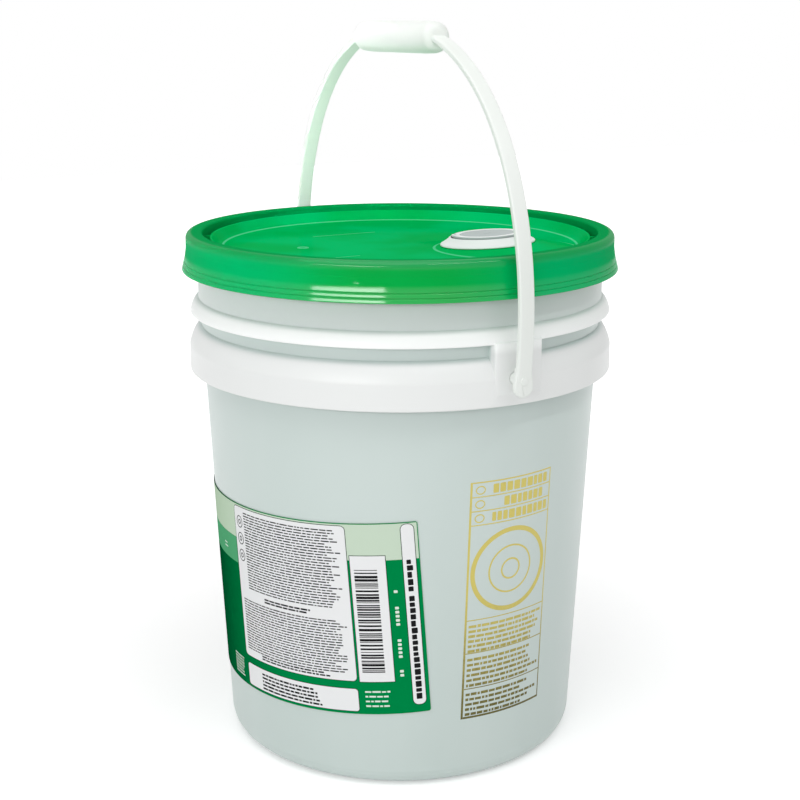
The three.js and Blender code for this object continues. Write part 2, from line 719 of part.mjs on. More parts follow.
// Assembly
const assembly = new THREE.Group();
assembly.add(
  meshOf("pail", buildPail(), bodyPlastic),
  meshOf("front_label", buildLabel(), labelFilm),
  meshOf("lid", buildLid(), lidPlastic),
  meshOf("lid_gasket", buildGasket(), softSeal),
  meshOf("bail_handle", buildBail(), bailPlastic),
  spoutFrame,
);
spoutFrame.add(
  meshOf("spout_ring", buildSpoutRing(), whitePlastic),
  meshOf("spout_neck", buildSpoutNeck(), whitePlastic),
  meshOf("spout_cap", buildSpoutCap(), greyPlastic),
  meshOf("cap_liner", buildCapLiner(), softSeal),
  meshOf("cap_pull_ring", buildPullRing(), whitePlastic),
);

export default assembly;
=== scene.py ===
"""A five gallon pail with a green lid: moulded bodies, wrapped print, plastics and a soft studio."""
import math
import random

import bmesh
import bpy
from bpy.props import FloatProperty, IntProperty, PointerProperty
from mathutils import Matrix, Vector
from mathutils.geometry import interpolate_bezier


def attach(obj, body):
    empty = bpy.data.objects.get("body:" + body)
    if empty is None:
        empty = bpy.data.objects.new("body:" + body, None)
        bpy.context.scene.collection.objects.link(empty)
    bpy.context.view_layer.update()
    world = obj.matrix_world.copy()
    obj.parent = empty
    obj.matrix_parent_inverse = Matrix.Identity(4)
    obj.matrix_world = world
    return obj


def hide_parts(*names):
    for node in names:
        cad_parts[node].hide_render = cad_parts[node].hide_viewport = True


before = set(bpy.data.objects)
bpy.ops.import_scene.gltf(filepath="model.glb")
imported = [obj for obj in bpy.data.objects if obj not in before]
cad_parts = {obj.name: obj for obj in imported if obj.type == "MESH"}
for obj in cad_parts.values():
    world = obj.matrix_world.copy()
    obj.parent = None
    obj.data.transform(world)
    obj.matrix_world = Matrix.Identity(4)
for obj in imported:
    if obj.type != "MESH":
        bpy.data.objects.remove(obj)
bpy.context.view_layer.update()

bl_info = {
    "name": "Five gallon pail",
    "version": (1, 0, 0),
    "blender": (4, 5, 0),
    "location": "View3D > Sidebar > Pail",
    "description": "Builds the shown pieces of a plastic pail around its model, and a studio",
    "category": "Object",
}


# Sizes

class PailSizes(bpy.types.PropertyGroup):
    """Sizes of the moulded pail."""

    steps: IntProperty(
        name="Steps round", description="Faces round the pail and the lid", default=240, min=24
    )
    height: FloatProperty(name="Height", description="Ground to rim", default=0.3662, unit="LENGTH")
    foot_radius: FloatProperty(
        name="Foot radius", description="Where the tapered wall meets the ground",
        default=0.12856, unit="LENGTH"
    )
    taper: FloatProperty(
        name="Taper", description="Growth of the radius for each metre of height",
        default=0.04819, subtype="FACTOR"
    )
    wall: FloatProperty(name="Wall", description="Thickness of the wall", default=0.0023, unit="LENGTH")
    floor_top: FloatProperty(
        name="Floor", description="Height of the floor's upper face", default=0.0046, unit="LENGTH"
    )
    neck_radius: FloatProperty(
        name="Neck radius", description="Outside of the neck", default=0.145, unit="LENGTH"
    )
    ring_top: FloatProperty(
        name="Ring top", description="Height of the ring's upper edge", default=0.327, unit="LENGTH"
    )
    ring_radius: FloatProperty(
        name="Ring radius", description="Outside of the ring", default=0.151, unit="LENGTH"
    )
    ring_drop: FloatProperty(
        name="Ring drop", description="Height of the ring", default=0.0105, unit="LENGTH"
    )
    band_top: FloatProperty(
        name="Band top", description="Height of the band's upper edge", default=0.3074, unit="LENGTH"
    )
    band_radius: FloatProperty(
        name="Band radius", description="Outside of the band", default=0.15197, unit="LENGTH"
    )
    band_drop: FloatProperty(
        name="Band drop", description="Height of the band", default=0.0317, unit="LENGTH"
    )
    band_wall: FloatProperty(
        name="Band wall", description="Thickness of the band", default=0.0022, unit="LENGTH"
    )
    shoulder: FloatProperty(
        name="Shoulder", description="Height of the band's shoulder", default=0.014, unit="LENGTH"
    )
    webs: IntProperty(name="Webs", description="Stiffening webs behind the band", default=24, min=0)
    ear_width: FloatProperty(
        name="Ear width", description="Width of each bail ear", default=0.0365, unit="LENGTH"
    )
    ear_shift: FloatProperty(
        name="Ear shift", description="Ear's middle beside the pin", default=0.0038, unit="LENGTH"
    )
    ear_bottom: FloatProperty(
        name="Ear bottom", description="Height of each ear's lower end", default=0.282, unit="LENGTH"
    )
    pivot_height: FloatProperty(
        name="Pivot", description="Height of the bail's pivot", default=0.294, unit="LENGTH"
    )


class LidSizes(bpy.types.PropertyGroup):
    """Sizes of the press-on lid."""

    crown_top: FloatProperty(
        name="Crown", description="Height of the crown's top", default=0.3725, unit="LENGTH"
    )
    hem_bottom: FloatProperty(
        name="Hem", description="Height of the hem's lower edge", default=0.3463, unit="LENGTH"
    )
    hem_radius: FloatProperty(
        name="Hem radius", description="Outside of the hem", default=0.156, unit="LENGTH"
    )
    skirt_radius: FloatProperty(
        name="Skirt radius", description="Outside of the skirt", default=0.1527, unit="LENGTH"
    )
    wall: FloatProperty(name="Wall", description="Thickness of the lid", default=0.0022, unit="LENGTH")
    plug_radius: FloatProperty(
        name="Plug radius", description="Outside of the plug wall", default=0.1424, unit="LENGTH"
    )
    groove_inside: FloatProperty(
        name="Groove inside", description="Outer radius of the ridge by the groove",
        default=0.1357, unit="LENGTH"
    )
    panel_top: FloatProperty(name="Panel", description="Height of the panel", default=0.3615, unit="LENGTH")
    panel_radius: FloatProperty(
        name="Panel radius", description="Radius of the flat panel", default=0.1282, unit="LENGTH"
    )
    ribs: IntProperty(name="Ribs", description="Short walls across the groove", default=24, min=0)


class SpoutSizes(bpy.types.PropertyGroup):
    """Sizes of the pour spout, along its own tilted axis."""

    steps: IntProperty(name="Steps round", description="Faces round the spout's pieces", default=128, min=24)
    angle: FloatProperty(
        name="Angle", description="Place round the lid from the near ear",
        default=math.radians(43), subtype="ANGLE"
    )
    tilt: FloatProperty(
        name="Tilt", description="Lean to the lid's middle", default=math.radians(3.5), subtype="ANGLE"
    )
    offset: FloatProperty(name="Offset", description="From the lid's middle", default=0.065, unit="LENGTH")
    boss_height: FloatProperty(
        name="Boss height", description="Rise of the boss", default=0.003, unit="LENGTH"
    )
    boss_radius: FloatProperty(
        name="Boss radius", description="Top of the boss", default=0.036, unit="LENGTH"
    )
    collar_radius: FloatProperty(
        name="Collar", description="Outside of the collar", default=0.0275, unit="LENGTH"
    )
    flange_radius: FloatProperty(
        name="Flange", description="Outside of the flange", default=0.0335, unit="LENGTH"
    )
    flange_top: FloatProperty(
        name="Flange top", description="Rise of the flange", default=0.0058, unit="LENGTH"
    )
    bore: FloatProperty(name="Bore", description="Radius of the bore", default=0.0188, unit="LENGTH")
    neck_radius: FloatProperty(
        name="Neck", description="Outside of the spout's neck", default=0.0216, unit="LENGTH"
    )
    neck_foot: FloatProperty(
        name="Neck foot", description="Level of the neck's foot", default=-0.048, unit="LENGTH"
    )
    cap_radius: FloatProperty(
        name="Cap radius", description="Outside of the cap's plate", default=0.0246, unit="LENGTH"
    )
    cap_under: FloatProperty(
        name="Cap under", description="Level of the plate's underside", default=0.005, unit="LENGTH"
    )
    cap_top: FloatProperty(
        name="Cap top", description="Level of the plate's top", default=0.0072, unit="LENGTH"
    )
    hinge_angle: FloatProperty(
        name="Hinge", description="Place of the pull ring's hinge",
        default=math.radians(241), subtype="ANGLE"
    )


class BailSizes(bpy.types.PropertyGroup):
    """Sizes of the bail: a flat strap, a fat grip and two pins."""

    steps: IntProperty(name="Steps", description="Sections along each side of the strap", default=72, min=8)
    strap_width: FloatProperty(
        name="Strap width", description="Width of the strap", default=0.011, unit="LENGTH"
    )
    strap_thickness: FloatProperty(
        name="Strap", description="Thickness of the strap", default=0.004, unit="LENGTH"
    )
    reach: FloatProperty(
        name="Reach", description="Strap's middle at the pivot", default=0.1616, unit="LENGTH"
    )
    height: FloatProperty(
        name="Height", description="Pivot to the grip's middle", default=0.2118, unit="LENGTH"
    )
    bulge: FloatProperty(
        name="Bulge", description="How far the strap bows out", default=0.0144, unit="LENGTH"
    )
    bulge_height: FloatProperty(
        name="Bulge height", description="Where it bows", default=0.1134, unit="LENGTH"
    )
    shoulder: FloatProperty(
        name="Shoulder", description="How far the strap turns in", default=0.0383, unit="LENGTH"
    )
    shoulder_height: FloatProperty(
        name="Shoulder height", description="Where it turns in", default=0.1922, unit="LENGTH"
    )
    grip_length: FloatProperty(
        name="Grip length", description="Length of the grip", default=0.106, unit="LENGTH"
    )
    grip_radius: FloatProperty(
        name="Grip radius", description="Radius of the grip", default=0.0108, unit="LENGTH"
    )
    eye_radius: FloatProperty(
        name="Eye", description="Radius of the strap's rounded end", default=0.007, unit="LENGTH"
    )
    pin_radius: FloatProperty(name="Pin", description="Radius of the pin", default=0.0039, unit="LENGTH")


class PrintSizes(bpy.types.PropertyGroup):
    """Sizes of the wrapped label and of the print on the wall."""

    label_width: FloatProperty(name="Label width", description="Flat width", default=0.432, unit="LENGTH")
    label_height: FloatProperty(name="Label height", description="Flat height", default=0.14, unit="LENGTH")
    base_height: FloatProperty(
        name="Base", description="Lowest edge above the ground", default=0.0505, unit="LENGTH"
    )
    label_angle: FloatProperty(
        name="Label angle", description="Place round the pail", default=math.radians(-114), subtype="ANGLE"
    )
    print_angle: FloatProperty(
        name="Print angle", description="Place of the gold print", default=math.radians(4.5), subtype="ANGLE"
    )
    film: FloatProperty(
        name="Film", description="Thickness of the label's film", default=0.0003, unit="LENGTH"
    )
    ink: FloatProperty(name="Ink", description="Thickness of the ink", default=0.00003, unit="LENGTH")
    column: FloatProperty(name="Column", description="Widest flat face across", default=0.004, unit="LENGTH")
    row: FloatProperty(name="Row", description="Tallest flat face", default=0.02, unit="LENGTH")


class StageSizes(bpy.types.PropertyGroup):
    """The camera's place and the studio's lights."""

    lens: FloatProperty(
        name="Lens", description="Focal length of the camera", default=66.31, min=1.0, unit="CAMERA"
    )
    camera_x: FloatProperty(name="Camera X", description="Camera's place", default=0.9226, unit="LENGTH")
    camera_y: FloatProperty(name="Camera Y", description="Camera's place", default=-0.5114, unit="LENGTH")
    camera_z: FloatProperty(name="Camera Z", description="Camera's place", default=0.5170, unit="LENGTH")
    pitch: FloatProperty(
        name="Pitch", description="Camera looks down", default=math.radians(14.46), subtype="ANGLE"
    )
    room: FloatProperty(name="Room light", description="Strength of the room's light", default=0.53, min=0.0)
    overhead: FloatProperty(name="Overhead", description="Power of the top lamp", default=10.0, unit="POWER")
    key: FloatProperty(name="Key", description="Power of the strip on the left", default=4.1, unit="POWER")
    side: FloatProperty(
        name="Side", description="Power of the strip on the right", default=3.4, unit="POWER"
    )
    far: FloatProperty(
        name="Bail lamp", description="Power of the narrow lamp on the far strap", default=0.13, unit="POWER"
    )
    floor_size: FloatProperty(name="Floor", description="Half the floor's side", default=4.0, unit="LENGTH")


# Shaders

class Wire:
    """One output of a shader node. Arithmetic on it adds Math nodes."""

    def __init__(self, tree, socket):
        self.tree = tree
        self.socket = socket

    def via(self, kind, settings, values, output=0):
        """Adds a node, sets its settings and then its inputs, and returns one of its outputs."""
        node = self.tree.nodes.new(kind)
        for key, value in settings.items():
            setattr(node, key, value)
        for key, value in values.items():
            if isinstance(value, Wire):
                self.tree.links.new(value.socket, node.inputs[key])
            else:
                node.inputs[key].default_value = value
        return Wire(self.tree, node.outputs[output])

    def maths(self, operation, *others):
        return self.via("ShaderNodeMath", {"operation": operation}, dict(enumerate((self, *others))))

    def __add__(self, other):
        return self.maths("ADD", other)

    def __radd__(self, other):
        return self.maths("ADD", other)

    def __sub__(self, other):
        return self.maths("SUBTRACT", other)

    def __rsub__(self, other):
        return self.via("ShaderNodeMath", {"operation": "SUBTRACT"}, {0: other, 1: self})

    def __mul__(self, other):
        return self.maths("MULTIPLY", other)

    def __rmul__(self, other):
        return self.maths("MULTIPLY", other)

    def rise(self, low, high):
        """0 below low, 1 above high and a soft rise between them."""
        settings = {"interpolation_type": "SMOOTHSTEP"}
        return self.via("ShaderNodeMapRange", settings, {"Value": self, "From Min": low, "From Max": high})

    def blend(self, first, second):
        """The first colour where this is 0 and the second where it is 1."""
        settings = {"data_type": "RGBA"}
        return self.via("ShaderNodeMix", settings, {0: self, 6: first, 7: second}, output=2)

    def noise(self, scale, detail):
        """Noise from 0 to 1 in the piece's own coordinates."""
        return self.via("ShaderNodeTexNoise", {}, {"Vector": self, "Scale": scale, "Detail": detail})


def tone(red, green, blue):
    """A screen colour, 0 to 255, as Blender's linear colour."""
    parts = [value / 255 for value in (red, green, blue)]
    linear = [part / 12.92 if part <= 0.04045 else ((part + 0.055) / 1.055) ** 2.4 for part in parts]
    return (*linear, 1.0)


def new_material(name):
    """An empty surface: the material, its shader node and the piece's own coordinates."""
    material = bpy.data.materials.new(name)
    material.use_nodes = True
    tree = material.node_tree
    shader = tree.nodes["Principled BSDF"]
    here = tree.nodes.new("ShaderNodeTexCoord").outputs["Object"]
    return material, shader, Wire(tree, here)


def dress(shader, here, colour, roughness, spread, grain, height):
    """Colour, roughness that varies by spread, and a fine grain of one height for a moulded surface."""
    tree = here.tree
    patches = here.noise(38.0, 3.0)
    rough = (patches - 0.5) * spread + roughness
    bump = here.via(
        "ShaderNodeBump", {}, {"Strength": 0.35, "Distance": height, "Height": here.noise(grain, 4.0)}
    )
    tree.links.new(colour.socket, shader.inputs["Base Color"])
    tree.links.new(rough.socket, shader.inputs["Roughness"])
    tree.links.new(bump.socket, shader.inputs["Normal"])


def moulded(name, low, high, roughness, spread=0.08, grain=900.0, height=0.00004):
    """A moulded plastic whose colour drifts between two tones."""
    material, shader, here = new_material(name)
    drift = here.noise(9.0, 2.0).rise(0.3, 0.7)
    dress(shader, here, drift.blend(tone(*low), tone(*high)), roughness, spread, grain, height)
    return material


def pail_material():
    """Milky polyethylene: greyer on the single wall, whiter where a second wall stands in front of it."""
    material, shader, here = new_material("body_plastic")
    sizes = bpy.context.scene.pail_sizes
    place = here.via("ShaderNodeSeparateXYZ", {}, {0: here})
    across = Wire(here.tree, place.socket.node.outputs["Y"])
    height = Wire(here.tree, place.socket.node.outputs["Z"])
    radius = (place * place + across * across).maths("SQRT")
    beyond = radius - (height * sizes.taper + sizes.foot_radius)
    milky = beyond.rise(0.0006, 0.0048)
    neck = height.rise(sizes.ring_top - 0.012, sizes.ring_top + 0.004)
    low_wall = height.rise(0.0, 0.26)
    streaks = here.via("ShaderNodeMapping", {}, {"Vector": here, "Scale": (14.0, 14.0, 1.2)}).noise(1.0, 3.0)
    wall = low_wall.blend(tone(199, 212, 208), tone(204, 217, 213))
    wall = (streaks.rise(0.3, 0.7) * 0.35).blend(wall, tone(211, 222, 219))
    wall = neck.blend(wall, tone(209, 218, 215))
    above = height.rise(sizes.band_top + 0.002, sizes.band_top + 0.008)
    colour = milky.blend(wall, above.blend(tone(236, 238, 237), tone(252, 254, 253)))
    dress(shader, here, colour, 0.36, 0.1, 700.0, 0.00005)
    return material


def lid_material():
    """Deep green, glossiest on the hem and the crown. Its colour holds painted light: a teal painted
    reflection on the flanks seen from the camera, a lighter painted tone on the panel, a darker painted
    shade on the crown and in the groove, and pale lines of painted highlight where forms rise from the
    panel.
    """
    material, shader, here = new_material("lid_plastic")
    place = here.via("ShaderNodeSeparateXYZ", {}, {0: here})
    across = Wire(here.tree, place.socket.node.outputs["Y"])
    height = Wire(here.tree, place.socket.node.outputs["Z"])
    radius = (place * place + across * across).maths("SQRT")
    drift = here.noise(14.0, 2.0).rise(0.35, 0.65)
    outside = radius.rise(0.1480, 0.1500)
    # Painted reflection: view_flank grows with a point's distance sideways from the camera's line of sight,
    # and the teal tone it blends into the side stands for studio light reflected there. The coat is lowered
    # there too.
    view_flank = (place * 0.485 + across * 0.875).maths("ABSOLUTE").rise(0.02, 0.11)
    middle = drift.blend(tone(0, 166, 66), tone(0, 172, 72))
    side = view_flank.blend(middle, drift.blend(tone(0, 174, 98), tone(0, 180, 106)))
    # The panel's lighter, bluer tone is painted light from above.
    panel = drift.blend(tone(0, 176, 84), tone(0, 188, 104))
    # Painted highlight: a pale line at the foot of each form that rises from the panel.
    line = height.rise(0.36155, 0.36163) * (1 - height.rise(0.3619, 0.3621)) * (1 - outside)
    panel = (line * 0.7).blend(panel, tone(96, 214, 160))
    # The darker tone on the crown and in the groove is painted shade.
    top = (1 - radius.rise(0.136, 0.142)).blend(tone(0, 154, 78), panel)
    colour = height.rise(0.366, 0.3716).maths("MAXIMUM", 1 - outside).blend(side, top)
    dress(shader, here, colour, 0.32, 0.06, 260.0, 0.00002)
    crown = height.rise(0.366, 0.369)
    skirt = height.rise(0.3545, 0.358) * (1 - crown)
    gloss = outside * (1 - view_flank * 0.7) * (1 - skirt * 0.92 - crown * 0.35) + 0.012
    here.tree.links.new(gloss.socket, shader.inputs["Coat Weight"])
    shader.inputs["Specular IOR Level"].default_value = 0.0
    shader.inputs["Coat Roughness"].default_value = 0.1
    return material


def ring_material():
    """White plastic, with a painted shadow in the narrow groove round the cap."""
    material, shader, here = new_material("spout_ring_plastic")
    sizes = bpy.context.scene.spout_sizes
    matrix = spout_matrix()
    own = here.via("ShaderNodeMapping", {"vector_type": "TEXTURE"},
                   {"Vector": here, "Location": matrix.translation, "Rotation": matrix.to_euler()})
    place = here.via("ShaderNodeSeparateXYZ", {}, {0: own})
    across = Wire(here.tree, place.socket.node.outputs["Y"])
    radius = (place * place + across * across).maths("SQRT")
    white = here.noise(9.0, 2.0).rise(0.3, 0.7).blend(tone(229, 233, 232), tone(236, 239, 238))
    # Painted shadow: near black inside the groove under the cap's plate.
    groove = radius.rise(sizes.collar_radius - 0.0018, sizes.collar_radius - 0.0015)
    dress(shader, here, groove.blend(tone(52, 52, 62), white), 0.38, 0.08, 900.0, 0.00004)
    return material


def ink_material(name, colour, side, roughness=0.45):
    """Slightly uneven printing ink that goes from one colour at the label's middle to one at its side. The
    darker colour on the middle, where the label turns away from the camera, is painted shade.
    """
    material, shader, here = new_material(name)
    along = here.via("ShaderNodeSeparateXYZ", {}, {0: here})
    wander = (here.noise(160.0, 3.0) - 0.5) * 0.02
    # Painted shade: darker towards the label's middle, lighter towards its side nearer the camera.
    shade = (along + wander).rise(-0.06, 0.07).blend(tone(*colour), tone(*side))
    dress(shader, here, shade, roughness, 0.1, 1800.0, 0.00001)
    shader.inputs["Specular IOR Level"].default_value = 0.0
    return material


def gold_material():
    """Metallic ink, bright at the top and olive towards the foot."""
    material, shader, here = new_material("gold_ink")
    height = here.via("ShaderNodeSeparateXYZ", {}, {0: here}, output=2)
    flakes = here.noise(420.0, 4.0)
    up = (height + (flakes - 0.5) * 0.05).rise(0.04, 0.15)
    colour = up.blend(tone(88, 82, 24), tone(207, 193, 100))
    dress(shader, here, colour, 0.45, 0.2, 1500.0, 0.00002)
    shader.inputs["Metallic"].default_value = 0.2
    return material


def white_rays(tree):
    """1 for rays from the camera, a gloss or a clear body, which see a white surround. 0 for others."""
    path = tree.nodes.new("ShaderNodeLightPath").outputs
    names = ("Is Camera Ray", "Is Glossy Ray", "Is Transmission Ray")
    direct, gloss, clear = (Wire(tree, path[name]) for name in names)
    return direct.maths("MAXIMUM", gloss).maths("MAXIMUM", clear)


def floor_material():
    """White floor: bright to the camera where it is open, and darker in the object's shadow."""
    material, shader, here = new_material("studio_floor")
    tree = here.tree
    shader.inputs["Base Color"].default_value = tone(246, 246, 246)
    shader.inputs["Roughness"].default_value = 0.8
    shader.inputs["Specular IOR Level"].default_value = 0.0
    place = here.via("ShaderNodeSeparateXYZ", {}, {0: here})
    across = Wire(tree, place.socket.node.outputs["Y"])
    far = (place * place + across * across).maths("SQRT").rise(0.15, 1.1)
    bright = white_rays(tree) * (far * 0.5 + 0.3)
    glow = here.via("ShaderNodeEmission", {}, {"Color": (1.0, 1.0, 1.0, 1.0), "Strength": bright})
    both = here.via("ShaderNodeAddShader", {}, {0: Wire(tree, shader.outputs[0]), 1: glow})
    tree.links.new(both.socket, tree.nodes["Material Output"].inputs["Surface"])
    return material


# Shapes

def hold_ends(bm, gap):
    """Adds a point near both ends of each long edge, so that shading keeps to the roundings."""
    for edge in bm.edges[:]:
        if edge.calc_length() > 5 * gap:
            near = bmesh.utils.edge_split(edge, edge.verts[0], gap / edge.calc_length())[1]
            rest = max(near.link_edges, key=lambda linked: linked.calc_length())
            bmesh.utils.edge_split(rest, rest.other_vert(near), gap / rest.calc_length())


def round_corner(bm, vert, size, segments=5):
    """Replaces one corner of a flat outline by an arc."""
    bmesh.ops.bevel(
        bm, geom=[vert], offset=size, offset_type="OFFSET", segments=segments, profile=0.5,
        affect="VERTICES", material=-1,
    )


def turned(corners, steps, matrix=None, gap=0.0006):
    """A body turned about Z. Each corner is (radius, height) or (radius, height, rounding).

    Long edges get points a gap from their ends.
    """
    bm = bmesh.new()
    verts = [bm.verts.new((corner[0], 0.0, corner[1])) for corner in corners]
    bm.faces.new(verts)
    for vert, corner in zip(verts, corners):
        if len(corner) > 2:
            round_corner(bm, vert, corner[2])
    bmesh.ops.delete(bm, geom=bm.faces[:], context="FACES_ONLY")
    axis_edges = [edge for edge in bm.edges if all(vert.co.x < 1e-7 for vert in edge.verts)]
    bmesh.ops.delete(bm, geom=axis_edges, context="EDGES")
    hold_ends(bm, gap)
    bmesh.ops.spin(
        bm, geom=bm.verts[:] + bm.edges[:], cent=(0, 0, 0), axis=(0, 0, 1), angle=2 * math.pi,
        steps=steps, use_merge=True,
    )
    bmesh.ops.remove_doubles(bm, verts=bm.verts[:], dist=1e-6)
    if matrix:
        bmesh.ops.transform(bm, matrix=matrix, verts=bm.verts[:])
    bmesh.ops.recalc_face_normals(bm, faces=bm.faces[:])
    return bm


def shoulder(top, bottom, steps):
    """A soft shoulder between two (radius, height) points, level at the top and upright at the bottom."""
    start = Vector((*top, 0.0))
    end = Vector((*bottom, 0.0))
    bend = Vector((top[0] + 0.66 * (bottom[0] - top[0]), top[1] + 0.17 * (bottom[1] - top[1]), 0.0))
    handles = (start.lerp(bend, 2 / 3), end.lerp(bend, 2 / 3))
    return [(point.x, point.y) for point in interpolate_bezier(start, *handles, end, steps)]


def extruded(outline, depth, rounding=0.0, segments=3):
    """A plate on the XY plane from z = 0 to depth, with rounded rims. Corners may carry a rounding."""
    bm = bmesh.new()
    verts = [bm.verts.new((corner[0], corner[1], 0.0)) for corner in outline]
    bm.faces.new(verts)
    for vert, corner in zip(verts, outline):
        if len(corner) > 2:
            round_corner(bm, vert, corner[2], 8)
    made = bmesh.ops.extrude_face_region(bm, geom=bm.faces[:], use_keep_orig=True)
    top = [item for item in made["geom"] if isinstance(item, bmesh.types.BMVert)]
    bmesh.ops.translate(bm, verts=top, vec=(0, 0, depth))
    bmesh.ops.recalc_face_normals(bm, faces=bm.faces[:])
    if rounding:
        rims = [edge for edge in bm.edges if abs(edge.verts[0].co.z - edge.verts[1].co.z) < 1e-9]
        bmesh.ops.bevel(
            bm, geom=rims, offset=rounding, offset_type="OFFSET", segments=segments, profile=0.5,
            affect="EDGES", material=-1,
        )
    return bm


def rod(radius, start, end, height, steps=48):
    """A cylinder along X with softened rims."""
    low, high = min(start, end), max(start, end)
    soft = radius * 0.08
    corners = [(0, low), (radius, low, soft), (radius, high, soft), (0, high)]
    lie = Matrix.Translation((0, 0, height)) @ Matrix.Rotation(math.pi / 2, 4, "Y")
    return turned(corners, steps, lie)


def gather(parts):
    """Puts the shells of several bodies into the first."""
    first, *others = parts
    for other in others:
        mesh = bpy.data.meshes.new("shell")
        other.to_mesh(mesh)
        first.from_mesh(mesh)
        other.free()
        bpy.data.meshes.remove(mesh)
    return first


def settle(mesh, bm):
    """Writes a clean, outward, softly shaded surface to the mesh."""
    bmesh.ops.remove_doubles(bm, verts=bm.verts[:], dist=1e-6)
    bmesh.ops.recalc_face_normals(bm, faces=bm.faces[:])
    limit = math.radians(38)
    for face in bm.faces:
        face.smooth = True
    for edge in bm.edges:
        edge.smooth = edge.calc_face_angle(0.0) < limit
    bm.to_mesh(mesh)
    bm.free()


def new_piece(name, bm, material):
    """An object in the scene from a finished body."""
    mesh = bpy.data.meshes.new(name)
    settle(mesh, bm)
    mesh.materials.append(material)
    piece = bpy.data.objects.new(name, mesh)
    bpy.context.scene.collection.objects.link(piece)
    return piece


def shaped(piece, bm, operation):
    """Joins a body to the piece, or cuts it out."""
    tool = new_piece("tool", bm, piece.data.materials[0])
    modifier = piece.modifiers.new("shape", "BOOLEAN")
    modifier.operation = operation
    modifier.solver = "EXACT"
    modifier.object = tool
    graph = bpy.context.evaluated_depsgraph_get()
    done = bpy.data.meshes.new_from_object(piece.evaluated_get(graph))
    piece.modifiers.clear()
    old = piece.data
    piece.data = done
    done.name = piece.name
    bpy.data.meshes.remove(old)
    tool_mesh = tool.data
    bpy.data.objects.remove(tool)
    bpy.data.meshes.remove(tool_mesh)
    again = bmesh.new()
    again.from_mesh(done)
    settle(done, again)


def on_body(piece, body, slot, *nodes):
    """Seats a piece on its body and hides the nodes it stands for."""
    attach(piece, body)
    if nodes:
        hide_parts(*nodes)


# Pail

def pail_profile(sizes):
    """Outside up to the rim and inside down to the floor."""
    def wall(z):
        return sizes.foot_radius + sizes.taper * z

    heel = wall(0.0) - 0.01144
    roof = sizes.band_top - sizes.band_wall - 0.001
    side = sizes.band_top - sizes.shoulder
    lip = sizes.band_radius + 0.0003
    band_bottom = sizes.band_top - sizes.band_drop
    inside = sizes.neck_radius - sizes.wall
    ring_lip = sizes.ring_top - sizes.ring_drop
    bead = sizes.neck_radius + 0.0034
    band_inner = sizes.band_radius - sizes.band_wall
    return [
        (0.0, 0.002), (heel - 0.013, 0.002, 0.001), (heel - 0.011, 0.0, 0.0008), (wall(0.0), 0.0, 0.01144),
        *shoulder((wall(roof), roof), (band_inner, side), 9),
        (lip - sizes.band_wall, band_bottom, 0.0007), (lip, band_bottom, 0.0009),
        *shoulder((wall(sizes.band_top), sizes.band_top), (sizes.band_radius, side), 14)[::-1],
        (wall(sizes.ring_top - 0.003) - 0.0001, sizes.ring_top - 0.003, 0.0006),
        (sizes.ring_radius - 0.002, ring_lip + 0.0021, 0.002), (sizes.ring_radius - 0.002, ring_lip, 0.0005),
        (sizes.ring_radius, ring_lip, 0.0008),
        *shoulder((sizes.neck_radius, sizes.ring_top), (sizes.ring_radius, ring_lip + 0.001), 12)[::-1],
        (sizes.neck_radius, sizes.height - 0.006, 0.001), (bead, sizes.height - 0.0048, 0.0007),
        (bead, sizes.height, 0.0016), (inside, sizes.height, 0.0008),
        (inside, sizes.ring_top, 0.004), (wall(sizes.band_top) - sizes.wall, sizes.band_top, 0.004),
        (wall(sizes.floor_top) - sizes.wall, sizes.floor_top, 0.0076), (0.0, sizes.floor_top),
    ]


def pail_web(sizes, turn):
    """One upright wall between the pail's wall and the band."""
    top = sizes.band_top - sizes.shoulder
    bottom = top - 0.014
    inner = sizes.foot_radius + sizes.taper * bottom - 0.00115
    outer = sizes.band_radius - sizes.band_wall / 2
    high = sizes.foot_radius + sizes.taper * sizes.band_top - 0.00115
    outline = [(inner, bottom), (outer, bottom), (outer, top), (high, sizes.band_top - sizes.band_wall)]
    bm = extruded(outline, 0.0018)
    upright = Matrix.Rotation(math.pi / 2, 4, "X") @ Matrix.Translation((0, 0, -0.0009))
    stand = Matrix.Rotation(turn, 4, "Z") @ upright
    bmesh.ops.transform(bm, matrix=stand, verts=bm.verts[:])
    return bm


def pail_ear(sizes, face, side):
    """The block between the ring and the band that takes one pin."""
    bm = bmesh.new()
    bmesh.ops.create_grid(bm, x_segments=1, y_segments=12, size=sizes.ear_width / 2)
    inner = sizes.foot_radius + sizes.taper * sizes.ear_bottom - 0.003
    for vert in bm.verts:
        y = vert.co.y + sizes.ear_shift
        x = math.sqrt(face * face - y * y) if vert.co.x > 0 else inner
        vert.co = (x, y, sizes.ear_bottom)
    made = bmesh.ops.extrude_face_region(bm, geom=bm.faces[:], use_keep_orig=True)
    top = [item for item in made["geom"] if isinstance(item, bmesh.types.BMVert)]
    ear_top = sizes.ring_top - sizes.ring_drop + 0.0015
    bmesh.ops.translate(bm, verts=top, vec=(0, 0, ear_top - sizes.ear_bottom))
    bmesh.ops.recalc_face_normals(bm, faces=bm.faces[:])
    rims = [
        edge for edge in bm.edges
        if edge.calc_face_angle(0.0) > 0.8 and all(vert.co.x > inner + 0.001 for vert in edge.verts)
    ]
    bmesh.ops.bevel(
        bm, geom=rims, offset=0.0016, offset_type="OFFSET", segments=4, profile=0.5,
        affect="EDGES", material=-1,
    )
    if side < 0:
        bmesh.ops.rotate(bm, verts=bm.verts[:], cent=(0, 0, 0), matrix=Matrix.Rotation(math.pi, 3, "Z"))
    return bm


